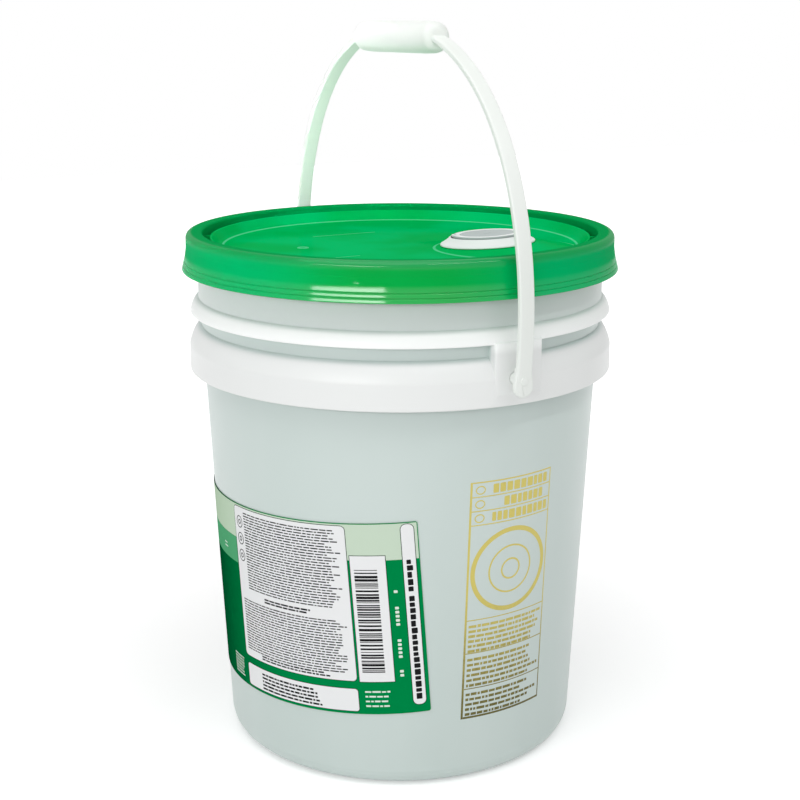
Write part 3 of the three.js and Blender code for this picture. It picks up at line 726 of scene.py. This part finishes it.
class PAIL_OT_body(bpy.types.Operator):
    """Build the moulded pail with its band, ring, ears and webs"""

    bl_idname = "pail.body"
    bl_label = "Pail body"

    def execute(self, context):
        sizes = context.scene.pail_sizes
        face = sizes.band_radius + 0.0006
        shell = turned(pail_profile(sizes), sizes.steps)
        piece = new_piece("pail_shell", shell, pail_material())
        for side in (1, -1):
            shaped(piece, pail_ear(sizes, face, side), "UNION")
            hole = rod(0.0042, side * (face - 0.0075), side * (face + 0.004), sizes.pivot_height)
            shaped(piece, hole, "DIFFERENCE")
        webs = [pail_web(sizes, 2 * math.pi * (i + 0.5) / sizes.webs) for i in range(sizes.webs)]
        whole = bmesh.new()
        whole.from_mesh(piece.data)
        settle(piece.data, gather([whole, *webs]))
        on_body(piece, "pail", "body_plastic", "pail")
        return {"FINISHED"}


# Lid

def spout_matrix():
    """From the spout's own frame to the pail's."""
    sizes = bpy.context.scene.spout_sizes
    lid = bpy.context.scene.lid_sizes
    across = Vector((math.sin(sizes.angle), -math.cos(sizes.angle), 0.0))
    place = Vector((
        sizes.offset * math.cos(sizes.angle), sizes.offset * math.sin(sizes.angle),
        lid.panel_top + sizes.boss_height,
    ))
    return Matrix.Translation(place) @ Matrix.Rotation(sizes.tilt, 4, across)


def lid_profile(lid, pail):
    """Underside from the middle to the hem, then the top back to the middle."""
    under = lid.panel_top - lid.wall
    groove = lid.crown_top - 0.0133
    ridge_top = lid.crown_top - 0.0039
    plug_inside = lid.plug_radius - 0.0016
    crown_under = lid.crown_top - 0.0024
    skirt_inside = lid.skirt_radius - lid.wall
    hook = pail.height - 0.0068
    back = lid.groove_inside + 0.0002 - lid.wall
    hem = lid.hem_bottom
    return [
        (0.0, under), (lid.panel_radius + 0.0012, under, 0.002),
        (back - 0.0002, ridge_top - 2 * lid.wall, 0.001), (back, groove - lid.wall, 0.0008),
        (lid.plug_radius, groove - lid.wall, 0.0012),
        (lid.plug_radius, crown_under, 0.0008), (skirt_inside, crown_under, 0.0016),
        (skirt_inside, hook, 0.0004),
        (skirt_inside - 0.0015, hook - 0.0014, 0.0006), (skirt_inside - 0.0015, hook - 0.0026, 0.0006),
        (skirt_inside, hook - 0.004, 0.0008),
        (lid.hem_radius - lid.wall - 0.0004, hem + 0.0026, 0.001), (lid.hem_radius - lid.wall, hem, 0.0003),
        (lid.hem_radius, hem, 0.0006), (lid.hem_radius - 0.0006, hem + 0.0026, 0.0003),
        (lid.hem_radius - 0.0013, hem + 0.0029, 0.0001), (lid.hem_radius - 0.0013, hem + 0.0032, 0.0001),
        (lid.hem_radius - 0.0009, hem + 0.0036, 0.0003), (lid.hem_radius - 0.0014, hem + 0.0058, 0.0003),
        (lid.hem_radius - 0.0021, hem + 0.0061, 0.0001), (lid.hem_radius - 0.0021, hem + 0.0064, 0.0001),
        (lid.hem_radius - 0.0017, hem + 0.0068, 0.0003), (lid.hem_radius - 0.0024, hem + 0.0098, 0.0010),
        (lid.skirt_radius + 0.0004, hem + 0.0125, 0.004), (lid.skirt_radius, hem + 0.0163, 0.003),
        (lid.skirt_radius, lid.crown_top, 0.0038), (plug_inside, lid.crown_top, 0.0016),
        (plug_inside - 0.0002, groove, 0.0008), (lid.groove_inside + 0.0002, groove, 0.0008),
        (lid.groove_inside, ridge_top, 0.0006), (lid.groove_inside - 0.0016, ridge_top, 0.0006),
        (lid.panel_radius, lid.panel_top, 0.003), (0.0, lid.panel_top),
    ]


def lid_rib(lid, turn):
    """One short wall across the groove."""
    bm = bmesh.new()
    inner = lid.groove_inside - 0.0008
    outer = lid.plug_radius - 0.0008
    bottom = lid.crown_top - 0.0144
    top = lid.crown_top - 0.0057
    bmesh.ops.create_cube(bm, size=1.0)
    place = Matrix.Translation(((inner + outer) / 2, 0, (bottom + top) / 2))
    scale = Matrix.Diagonal((outer - inner, 0.0016, top - bottom, 1.0))
    bmesh.ops.transform(bm, matrix=Matrix.Rotation(turn, 4, "Z") @ place @ scale, verts=bm.verts[:])
    upper = [edge for edge in bm.edges if all(vert.co.z > top - 1e-6 for vert in edge.verts)]
    bmesh.ops.bevel(
        bm, geom=upper, offset=0.0003, offset_type="OFFSET", segments=2, profile=0.5,
        affect="EDGES", material=-1,
    )
    return bm


def panel_mark(x, y, length, lid):
    """A faint raised line that the mould leaves on the panel."""
    soft = 0.0003
    outline = [(-0.0004, 0.0, soft), (0.0004, 0.0, soft), (0.0004, length, soft), (-0.0004, length, soft)]
    bm = extruded(outline, 0.0012, 0.0001, 2)
    bmesh.ops.translate(bm, verts=bm.verts[:], vec=(x, y, lid.panel_top - 0.001))
    return bm


class PAIL_OT_lid(bpy.types.Operator):
    """Build the press-on lid with its ribbed groove and raised spout boss"""

    bl_idname = "pail.lid"
    bl_label = "Lid"

    def execute(self, context):
        lid = context.scene.lid_sizes
        pail = context.scene.pail_sizes
        spout = context.scene.spout_sizes
        matrix = spout_matrix()
        shell = turned(lid_profile(lid, pail), pail.steps, gap=0.00028)
        piece = new_piece("lid_shell", shell, lid_material())
        drop = 2 * spout.boss_height + lid.wall
        foot = spout.boss_radius + drop * 13 / 3
        cone = [(0.0, -drop), (foot, -drop), (spout.boss_radius, 0.0, 0.004), (0.0, 0.0)]
        boss = turned(cone, spout.steps, matrix)
        cut = bmesh.ops.bisect_plane(
            boss, geom=boss.verts[:] + boss.edges[:] + boss.faces[:], dist=1e-7,
            plane_co=(0, 0, lid.panel_top - lid.wall / 2), plane_no=(0, 0, 1), clear_inner=True,
        )
        rim = [item for item in cut["geom_cut"] if isinstance(item, bmesh.types.BMEdge)]
        bmesh.ops.holes_fill(boss, edges=rim, sides=0)
        shaped(piece, boss, "UNION")
        inside = spout.boss_radius - lid.wall
        recess = [(0.0, -0.03), (inside, -0.03), (inside, -0.003), (0.0, -0.003)]
        shaped(piece, turned(recess, spout.steps, matrix), "DIFFERENCE")
        reach = spout.collar_radius + 0.0003
        hole = [(0.0, -0.01), (reach, -0.01), (reach, 0.01), (0.0, 0.01)]
        shaped(piece, turned(hole, spout.steps, matrix), "DIFFERENCE")
        whole = bmesh.new()
        whole.from_mesh(piece.data)
        nub = turned(
            [(0.0, lid.panel_top - 0.001), (0.0042, lid.panel_top - 0.001),
             (0.0042, lid.panel_top + 0.0004, 0.0003), (0.0026, lid.panel_top + 0.0004, 0.0004),
             (0.0016, lid.panel_top - 0.0002, 0.0004),
             (0.0, lid.panel_top - 0.0002)],
            48, Matrix.Translation((-0.0129, -0.0710, 0.0)),
        )
        marks = [panel_mark(-0.059, -0.041, 0.052, lid), panel_mark(0.038, -0.072, 0.020, lid)]
        ribs = [lid_rib(lid, 2 * math.pi * i / lid.ribs) for i in range(lid.ribs)]
        settle(piece.data, gather([whole, nub, *marks, *ribs]))
        on_body(piece, "lid", "lid_plastic", "lid")
        return {"FINISHED"}


# Spout

def spout_thread(sizes):
    """A low ridge that winds round the neck under the cap."""
    bm = bmesh.new()
    foot = sizes.neck_radius - 0.0001
    verts = [bm.verts.new(point) for point in (
        (foot, 0, -0.0045), (foot + 0.0004, 0, -0.0041), (foot + 0.0004, 0, -0.0037), (foot, 0, -0.0033)
    )]
    start = bm.faces.new(verts)
    steps = 180
    bmesh.ops.spin(
        bm, geom=[start], cent=(0, 0, 0), axis=(0, 0, 1), dvec=(0, 0, 0.004 / steps),
        angle=2.6 * math.pi, steps=steps,
    )
    bmesh.ops.recalc_face_normals(bm, faces=bm.faces[:])
    return bm


def spout_tab(sizes, inner, outer, width, bottom, top, rounding):
    """A small plate that points outwards at the pull ring's hinge."""
    half = width / 2
    outline = [(inner, -half), (outer, -half, rounding), (outer, half, rounding), (inner, half)]
    bm = extruded(outline, top - bottom)
    place = Matrix.Rotation(sizes.hinge_angle, 4, "Z") @ Matrix.Translation((0, 0, bottom))
    bmesh.ops.transform(bm, matrix=place, verts=bm.verts[:])
    return bm


class PAIL_OT_spout(bpy.types.Operator):
    """Build the spout's retaining ring, neck, cap and pull ring"""

    bl_idname = "pail.spout"
    bl_label = "Spout"

    def execute(self, context):
        sizes = context.scene.spout_sizes
        matrix = spout_matrix()
        white = moulded("spout_white", (229, 233, 232), (236, 239, 238), 0.38)
        grey = moulded("spout_grey", (168, 178, 177), (176, 187, 185), 0.5)
        collar = sizes.collar_radius
        lip = sizes.neck_radius + 0.0006
        inside = collar - 0.0019
        ring = turned([
            (lip, -0.011, 0.0003), (collar, -0.011, 0.0004), (collar, -0.0057),
            (collar + 0.0021, -0.0045, 0.0003), (collar + 0.0021, -0.0033, 0.0002), (collar, -0.0033),
            (collar, 0.0003), (sizes.flange_radius, 0.0003, 0.0003),
            (sizes.flange_radius, 0.0013, 0.0006), (collar + 0.0012, 0.0040, 0.0016),
            (inside + 0.0011, sizes.flange_top, 0.0004), (inside, sizes.flange_top, 0.0003),
            (inside, -0.009, 0.0003), (lip, -0.009, 0.0002),
        ], sizes.steps, matrix)
        on_body(new_piece("retaining_ring", ring, ring_material()), "lid", "white_plastic", "spout_ring")

        foot = sizes.neck_foot
        neck = turned([
            (sizes.bore, foot, 0.0004), (sizes.neck_radius + 0.0028, foot, 0.0005),
            (sizes.neck_radius + 0.0028, foot + 0.0024, 0.0005), (sizes.neck_radius, foot + 0.0024, 0.0004),
            (sizes.neck_radius, 0.0034, 0.0006), (sizes.bore, 0.0034, 0.0006),
        ], sizes.steps)
        neck = gather([neck, spout_thread(sizes)])
        bmesh.ops.transform(neck, matrix=matrix, verts=neck.verts[:])
        on_body(new_piece("pour_neck", neck, white), "spout", "white_plastic", "spout_neck")

        under, top = sizes.cap_under, sizes.cap_top
        bore = sizes.neck_radius + 0.0004
        skirt = bore + 0.0022
        outer, inner = skirt - 0.0003, skirt - 0.0049
        cap = turned([
            (0.0, under), (bore, under, 0.0003), (bore, under - 0.011, 0.0003),
            (skirt, under - 0.011, 0.0005), (skirt, under, 0.0003),
            (sizes.cap_radius, under + 0.0004, 0.0003), (sizes.cap_radius, top, 0.0006),
            (outer, top, 0.0002), (outer, top - 0.0012), (inner, top - 0.0012), (inner, top, 0.0003),
            (0.0026, top, 0.0002), (0.0022, top + 0.0003, 0.0002), (0.0, top + 0.0003),
        ], sizes.steps)
        piece = new_piece("spout_cap_disc", cap, grey)
        edge = sizes.cap_radius + 0.001
        slot = spout_tab(sizes, outer - 0.002, edge, 0.0086, top - 0.0012, top + 0.002, 0.0)
        shaped(piece, slot, "DIFFERENCE")
        piece.data.transform(matrix)
        on_body(piece, "cap", "grey_plastic", "spout_cap")

        low = top - 0.0009
        loop = turned([
            (inner + 0.0003, low, 0.0003), (outer - 0.0003, low, 0.0003),
            (outer - 0.0003, low + 0.001, 0.0004), (inner + 0.0003, low + 0.001, 0.0004),
        ], sizes.steps)
        hinge_radius = outer - 0.0003 + 0.0008
        tab = spout_tab(sizes, outer - 0.002, hinge_radius, 0.008, low, low + 0.001, 0.0002)
        barrel = turned([(0.0, -0.004), (0.0005, -0.004), (0.0005, 0.004), (0.0, 0.004)], 16)
        place = Matrix.Translation((hinge_radius, 0, low + 0.0005)) @ Matrix.Rotation(math.pi / 2, 4, "X")
        lie = Matrix.Rotation(sizes.hinge_angle, 4, "Z") @ place
        bmesh.ops.transform(barrel, matrix=lie, verts=barrel.verts[:])
        loop = gather([loop, tab, barrel])
        bmesh.ops.transform(loop, matrix=matrix, verts=loop.verts[:])
        on_body(new_piece("pull_loop", loop, white), "pull_ring", "white_plastic", "cap_pull_ring")
        return {"FINISHED"}


# Bail

def strap_side(sizes, pivot_height, side):
    """Sweeps the strap's rounded section from the pivot up and over into the grip."""
    half_width, half_thick = sizes.strap_width / 2, sizes.strap_thickness / 2
    soft = sizes.strap_thickness * 0.32
    corners = ((-1, -1), (1, -1), (1, 1), (-1, 1))
    bm = extruded([(x * half_thick, y * half_width, soft) for x, y in corners], 1.0)
    for step in range(1, sizes.steps):
        everything = bm.verts[:] + bm.edges[:] + bm.faces[:]
        level = (0, 0, step / sizes.steps)
        bmesh.ops.bisect_plane(bm, geom=everything, dist=1e-7, plane_co=level, plane_no=(0, 0, 1))
    knots = [
        Vector((side * x, 0.0, pivot_height + z)) for x, z in (
            (sizes.reach, 0.0), (sizes.reach + sizes.bulge, sizes.bulge_height),
            (sizes.reach - sizes.shoulder, sizes.shoulder_height),
            (sizes.grip_length / 2 - 0.003, sizes.height),
        )
    ]
    path = interpolate_bezier(*knots, sizes.steps + 1)
    for vert in bm.verts:
        step = round(vert.co.z * sizes.steps)
        along = (path[min(step + 1, sizes.steps)] - path[max(step - 1, 0)]).normalized()
        across = Vector((0.0, 1.0, 0.0)).cross(along)
        vert.co = path[step] + across * vert.co.x + Vector((0.0, vert.co.y, 0.0))
    return bm


def strap_eye(sizes, pivot_height, side):
    """The strap's rounded end, standing on the XZ plane's side beside the ear."""
    wide, narrow = sizes.eye_radius, sizes.strap_width / 2
    outline = [(-wide, -0.011, wide * 0.999), (wide, -0.011, wide * 0.999), (wide, -0.002), (narrow, 0.009),
               (-narrow, 0.009), (-wide, -0.002)]
    bm = extruded(outline, sizes.strap_thickness, 0.0012, 4)
    inner = sizes.reach - sizes.strap_thickness / 2
    stand = Matrix(((0, 0, 1, inner), (1, 0, 0, 0), (0, 1, 0, pivot_height), (0, 0, 0, 1)))
    bmesh.ops.transform(bm, matrix=stand, verts=bm.verts[:])
    if side < 0:
        bmesh.ops.rotate(bm, verts=bm.verts[:], cent=(0, 0, 0), matrix=Matrix.Rotation(math.pi, 3, "Z"))
    return bm


class PAIL_OT_bail(bpy.types.Operator):
    """Build the strap bail with its grip, eyes, collars and pins"""

    bl_idname = "pail.bail"
    bl_label = "Bail"

    def execute(self, context):
        sizes = context.scene.bail_sizes
        pail = context.scene.pail_sizes
        pivot = pail.pivot_height
        ear = pail.band_radius + 0.0006
        outer = sizes.reach + sizes.strap_thickness / 2
        half = sizes.grip_length / 2
        lie = Matrix.Translation((0, 0, pivot + sizes.height)) @ Matrix.Rotation(math.pi / 2, 4, "Y")
        radius = sizes.grip_radius
        grip = turned(
            [(0.0, -half), (radius * 0.93, -half, 0.0045), (radius, -half + 0.012, 0.006),
             (radius, half - 0.012, 0.006), (radius * 0.93, half, 0.0045), (0.0, half)],
            96, lie,
        )
        parts = [grip]
        for side in (1, -1):
            parts += [
                strap_side(sizes, pivot, side),
                strap_eye(sizes, pivot, side),
                rod(0.0042, side * (ear + 0.0003), side * sizes.reach, pivot),
                rod(sizes.pin_radius, side * (ear - 0.007), side * (sizes.reach + 0.0004), pivot),
                rod(0.0026, side * (outer - 0.001), side * (outer + 0.0006), pivot),
            ]
        milk = moulded("bail_plastic", (234, 239, 234), (238, 242, 238), 0.4)
        on_body(new_piece("strap_bail", gather(parts), milk), "bail", "bail_plastic", "bail_handle")
        return {"FINISHED"}


# Print

def on_wall(x, y, lift, centre):
    """Wraps a flat point, x to the right and y up from the lowest edge, round the tapered wall."""
    pail = bpy.context.scene.pail_sizes
    sizes = bpy.context.scene.print_sizes
    lean = math.atan(pail.taper)
    spread = math.sin(lean)
    apex = pail.foot_radius / pail.taper
    slant = (sizes.base_height + apex) / math.cos(lean) + y
    from_apex = math.hypot(x, slant)
    turn = centre + math.atan2(x, slant) / spread
    radius = from_apex * spread + lift * math.cos(lean)
    height = from_apex * math.cos(lean) - apex - lift * spread
    return Vector((radius * math.cos(turn), radius * math.sin(turn), height))


def wrapped(patches, low, high, centre):
    """Closed thin patches on the wall. Each is a list of flat corners in millimetres, with a rounding."""
    sizes = bpy.context.scene.print_sizes
    bm = bmesh.new()
    for patch in patches:
        verts = [bm.verts.new((corner[0] * 0.001, corner[1] * 0.001, 0.0)) for corner in patch]
        bm.faces.new(verts)
        for vert, corner in zip(verts, patch):
            if len(corner) > 2:
                round_corner(bm, vert, corner[2] * 0.001, 4)
    bmesh.ops.remove_doubles(bm, verts=bm.verts[:], dist=1e-7)
    for step, axis in ((sizes.column, 0), (sizes.row, 1)):
        reach = [vert.co[axis] for vert in bm.verts]
        normal = (1.0, 0.0, 0.0) if axis == 0 else (0.0, 1.0, 0.0)
        for line in range(math.ceil(min(reach) / step), math.floor(max(reach) / step) + 1):
            place = Vector(normal) * (line * step)
            everything = bm.verts[:] + bm.edges[:] + bm.faces[:]
            bmesh.ops.bisect_plane(bm, geom=everything, dist=1e-7, plane_co=place, plane_no=normal)
    made = bmesh.ops.extrude_face_region(bm, geom=bm.faces[:], use_keep_orig=True)
    top = {item for item in made["geom"] if isinstance(item, bmesh.types.BMVert)}
    for vert in bm.verts:
        vert.co = on_wall(vert.co.x, vert.co.y, high if vert in top else low, centre)
    return bm


def box(left, low, right, high, rounding=0.0):
    """A flat rectangle's corners in millimetres."""
    corners = ((left, low), (right, low), (right, high), (left, high))
    return [(*corner, rounding) if rounding else corner for corner in corners]


def grown(patch, edge):
    """A rectangle's corners moved outwards by edge."""
    left, low = min(c[0] for c in patch), min(c[1] for c in patch)
    right, high = max(c[0] for c in patch), max(c[1] for c in patch)
    rounding = patch[0][2] + edge if len(patch[0]) > 2 else 0.0
    return box(left - edge, low - edge, right + edge, high + edge, rounding)


def word_rows(dice, left, right, top, rows, pitch, height, ragged=0.12):
    """Rows of plain bars of many lengths, set like lines of small words, from the top down."""
    bars = []
    for row in range(rows):
        base = top - (row + 1) * pitch
        end = right - dice.random() * ragged * (right - left)
        x = left
        while x < end - 1.2:
            length = min(dice.uniform(1.4, 6.5), end - x)
            bars.append(box(x, base, x + length, base + height * dice.uniform(0.86, 1.0)))
            x += length + 0.8
    return bars


def ring(x, y, width, height, stroke, pieces):
    """An oval outline made of short flat pieces."""
    patches = []
    for i in range(pieces):
        turns = (2 * math.pi * i / pieces, 2 * math.pi * (i + 1) / pieces)
        patch = [(x + (width / 2 - inset) * math.cos(t), y + (height / 2 - inset) * math.sin(t))
                 for inset, t in ((stroke, turns[0]), (0, turns[0]), (0, turns[1]), (stroke, turns[1]))]
        patches.append(patch)
    return patches


def label_print(dice):
    """The label's fields: ink name to its two colours (a painted-shade tone for the label's middle, then the
    tone at its side), its patches and its level.
    """
    panels = [
        box(67, 25, 167, 138, 3.0), box(68.6, 2.2, 167, 19, 2.0), box(169, 24.6, 193, 117),
        box(204.6, 6, 213.2, 138.6, 3.6), box(-196, 22, -112, 132, 3.0), box(-98, 22, 4, 92, 3.0),
    ]
    black = word_rows(dice, 79, 163, 136, 29, 1.98, 0.88)
    black += word_rows(dice, 96, 138, 76.2, 2, 2.1, 1.3)
    black += word_rows(dice, 71, 164, 70.5, 20, 1.98, 0.88)
    black += word_rows(dice, 88, 148, 30.8, 2, 2.0, 1.2)
    black += word_rows(dice, 86, 140, 17.2, 5, 2.7, 1.5)
    y = 31.6
    while y < 108.5:
        thick = dice.choice((0.5, 0.5, 0.9, 1.3, 1.8))
        black.append(box(171.4, y, 187, min(y + thick, 109.6)))
        y += thick + dice.choice((0.55, 0.55, 0.9, 1.4))
    y = 10.0
    while y < 112:
        length = dice.uniform(2.6, 4.6)
        black.append(box(206.9, y, 206.9 + dice.uniform(3.0, 4.2), y + length, 0.5))
        y += length + dice.choice((0.9, 0.9, 0.9, 3.4))
    black += word_rows(dice, -192, -118, 128, 46, 2.2, 1.2)
    black += word_rows(dice, -92, -2, 88, 28, 2.3, 1.3)
    symbols = []
    for y in (127, 114.5, 102):
        symbols += ring(73.4, y, 7.4, 9.0, 0.6, 24) + ring(73.4, y, 3.2, 3.8, 0.7, 16)
    heights = (28, 31, 42, 45, 48, 51, 54, 66, 69, 72, 75, 78, 90)
    digits = [box(197.0, y, 199.6, y + 1.9, 0.5) for y in heights]
    digits += word_rows(dice, 46, 62, 21, 7, 2.3, 1.0)
    digits += [box(43, 103.5, 48, 104.4), box(43, 100.8, 49, 101.7)]
    digits += [box(x, 4.4, x + 3.4, 7.8, 1.0) for x in (129, 137, 145)]
    digits += word_rows(dice, 172, 190, 20, 4, 3.6, 1.3)
    return {
        "print_pale": ((190, 215, 186), (204, 222, 202), [box(-215.4, 113.8, 215.4, 139.4)], 1),
        "print_middle": ((88, 172, 122), (88, 172, 122), [box(-215.4, 94.0, 66.0, 113.6)], 1),
        "print_edges": ((24, 58, 40), (24, 58, 40), [grown(panel, 0.45) for panel in panels], 2),
        "print_reverse": ((225, 238, 228), (225, 238, 228), digits, 2),
        "print_white": ((238, 239, 240), (240, 241, 242), panels, 3),
        "print_black": ((26, 26, 28), (34, 34, 36), black + symbols, 4),
    }


class PAIL_OT_label(bpy.types.Operator):
    """Wrap the label's film on the wall and lay its inks on it"""

    bl_idname = "pail.label"
    bl_label = "Label"

    def execute(self, context):
        sizes = context.scene.print_sizes
        half, height = sizes.label_width * 500, sizes.label_height * 1000
        film = wrapped([box(-half, 0, half, height, 1.5)], 0.0003, 0.0003 + sizes.film, sizes.label_angle)
        # The film's darker green, on the label's middle, is painted shade.
        green = ink_material("label_film", (0, 74, 40), (0, 136, 72), 0.4)
        on_body(new_piece("label_sheet", film, green), "pail", "label_film", "front_label")
        top = 0.0003 + sizes.film
        for name, (colour, side, patches, level) in label_print(random.Random(11)).items():
            bm = wrapped(patches, top - 0.00002, top + level * sizes.ink, sizes.label_angle)
            on_body(new_piece(name, bm, ink_material(name, colour, side)), "pail", "label_film")
        return {"FINISHED"}


class PAIL_OT_wall_print(bpy.types.Operator):
    """Lay the plain gold print on the wall: a ruled frame, a ring and rows of bars"""

    bl_idname = "pail.wall_print"
    bl_label = "Gold print"

    def execute(self, context):
        sizes = context.scene.print_sizes
        dice = random.Random(5)
        lines = [box(-34, -1.8, -32.5, 172), box(33.1, -1.8, 34, 172), box(-32.4, 171.1, 33, 172),
                 box(-32.4, -1.8, 33, -0.3)]
        lines += [box(-32.4, y, 33, y + 0.7) for y in (161.0, 151.0, 141.0, 72.0, 47.4, 20.6)]
        for y in (163.2, 153.2, 143.2):
            lines += ring(-26.5, y + 2.9, 7.4, 6.2, 0.8, 20)
        heads = []
        for y, left, right in ((163.0, -17, 30), (153.0, -8, 26), (143.0, -17, 31)):
            x = left
            while x < right - 2:
                wide = dice.uniform(3.0, 5.0)
                heads.append(box(x, y, min(x + wide, right), y + 6.4, 0.6))
                x += wide + 1.1
        lines += ring(0, 106, 63, 61, 3.3, 72)
        lines += ring(0, 106, 36, 35, 1.2, 48) + ring(0, 106, 16, 15.5, 1.2, 32)
        words = word_rows(dice, -31, 31, 70.5, 6, 3.7, 2.1, 0.3)
        words += word_rows(dice, -31, 31, 45.8, 6, 3.9, 2.1, 0.3)
        words += word_rows(dice, -31, 31, 19.4, 5, 3.8, 2.1, 0.3)
        bm = wrapped(lines + heads + words, -0.00002, 0.00006, sizes.print_angle)
        on_body(new_piece("gold_print", bm, gold_material()), "pail", "body_plastic")
        return {"FINISHED"}


class PAIL_OT_seals(bpy.types.Operator):
    """Dress the foam ring in the lid and the sealing disc in the cap"""

    bl_idname = "pail.seals"
    bl_label = "Seals"

    def execute(self, context):
        foam = moulded(
            "seal_foam", (206, 206, 200), (220, 220, 214), 0.85, spread=0.1, grain=1400.0, height=0.0001
        )
        for name in ("lid_gasket", "cap_liner"):
            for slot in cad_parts[name].material_slots:
                slot.material = foam
        return {"FINISHED"}


# Stage

def lamp(name, place, target, power, width, height, spread=math.pi):
    """A soft rectangular lamp that looks at its target."""
    light = bpy.data.lights.new(name, "AREA")
    light.shape = "RECTANGLE"
    light.size = width
    light.size_y = height
    light.energy = power
    light.spread = spread
    piece = bpy.data.objects.new(name, light)
    piece.location = place
    piece.rotation_euler = (Vector(target) - Vector(place)).to_track_quat("-Z", "Y").to_euler()
    bpy.context.scene.collection.objects.link(piece)
    return piece


class PAIL_OT_stage(bpy.types.Operator):
    """Set up the camera, the pale floor, the room and the lamps"""

    bl_idname = "pail.stage"
    bl_label = "Studio"

    def execute(self, context):
        sizes = context.scene.stage_sizes
        scene = context.scene
        camera_data = bpy.data.cameras.new("camera")
        camera_data.lens = sizes.lens
        camera_data.sensor_width = 36.0
        camera = bpy.data.objects.new("camera", camera_data)
        camera.location = (sizes.camera_x, sizes.camera_y, sizes.camera_z)
        level = Vector((-0.8746, 0.4848, 0.0)) * math.cos(sizes.pitch)
        look = level - Vector((0.0, 0.0, math.sin(sizes.pitch)))
        camera.rotation_euler = look.to_track_quat("-Z", "Y").to_euler()
        scene.collection.objects.link(camera)
        scene.camera = camera

        bm = bmesh.new()
        bmesh.ops.create_grid(bm, x_segments=8, y_segments=8, size=sizes.floor_size)
        new_piece("studio_floor", bm, floor_material())

        world = bpy.data.worlds.new("studio")
        world.use_nodes = True
        scene.world = world
        tree = world.node_tree
        backdrop = tree.nodes["Background"]
        strength = white_rays(tree) * (1.0 - sizes.room) + sizes.room
        backdrop.inputs["Color"].default_value = (1.0, 1.0, 1.0, 1.0)
        tree.links.new(strength.socket, backdrop.inputs["Strength"])

        lamp("top_lamp", (0.3, -0.5, 1.9), (0, 0, 0.2), sizes.overhead, 1.6, 1.6)
        lamp("key_lamp", (0.82, -1.14, 0.70), (0, 0, 0.35), sizes.key, 0.91, 0.12)
        lamp("side_lamp", (0.92, 0.23, 1.49), (0, 0, 0.35), sizes.side, 0.9, 0.07)
        lamp("bail_lamp", (0.75, -0.95, 0.52), (-0.17, 0, 0.485), sizes.far, 0.12, 0.12, math.radians(16))
        scene.view_settings.view_transform = "Standard"
        return {"FINISHED"}


# Panel and registration

class PAIL_PT_tools(bpy.types.Panel):
    """Buttons for each piece of the pail, in the 3D view's sidebar"""

    bl_label = "Pail"
    bl_idname = "PAIL_PT_tools"
    bl_space_type = "VIEW_3D"
    bl_region_type = "UI"
    bl_category = "Pail"

    def draw(self, context):
        for operator in OPERATORS:
            self.layout.operator(operator.bl_idname)
        for name in GROUPS:
            group = getattr(context.scene, name)
            box_layout = self.layout.box()
            for key in group.__annotations__:
                box_layout.prop(group, key)


OPERATORS = (
    PAIL_OT_stage, PAIL_OT_body, PAIL_OT_lid, PAIL_OT_spout, PAIL_OT_bail, PAIL_OT_label, PAIL_OT_wall_print,
    PAIL_OT_seals,
)
GROUPS = {
    "pail_sizes": PailSizes, "lid_sizes": LidSizes, "spout_sizes": SpoutSizes, "bail_sizes": BailSizes,
    "print_sizes": PrintSizes, "stage_sizes": StageSizes,
}


def register():
    """Registers the sizes, the operators and the panel."""
    for name, group in GROUPS.items():
        bpy.utils.register_class(group)
        setattr(bpy.types.Scene, name, PointerProperty(type=group))
    for kind in (*OPERATORS, PAIL_PT_tools):
        bpy.utils.register_class(kind)


def unregister():
    """Takes them out again."""
    for kind in (PAIL_PT_tools, *reversed(OPERATORS)):
        bpy.utils.unregister_class(kind)
    for name, group in reversed(GROUPS.items()):
        delattr(bpy.types.Scene, name)
        bpy.utils.unregister_class(group)


def main():
    """Builds everything."""
    register()
    bpy.ops.pail.stage()
    bpy.ops.pail.body()
    bpy.ops.pail.lid()
    bpy.ops.pail.spout()
    bpy.ops.pail.bail()
    bpy.ops.pail.label()
    bpy.ops.pail.wall_print()
    bpy.ops.pail.seals()


if __name__ == "__main__":
    main()
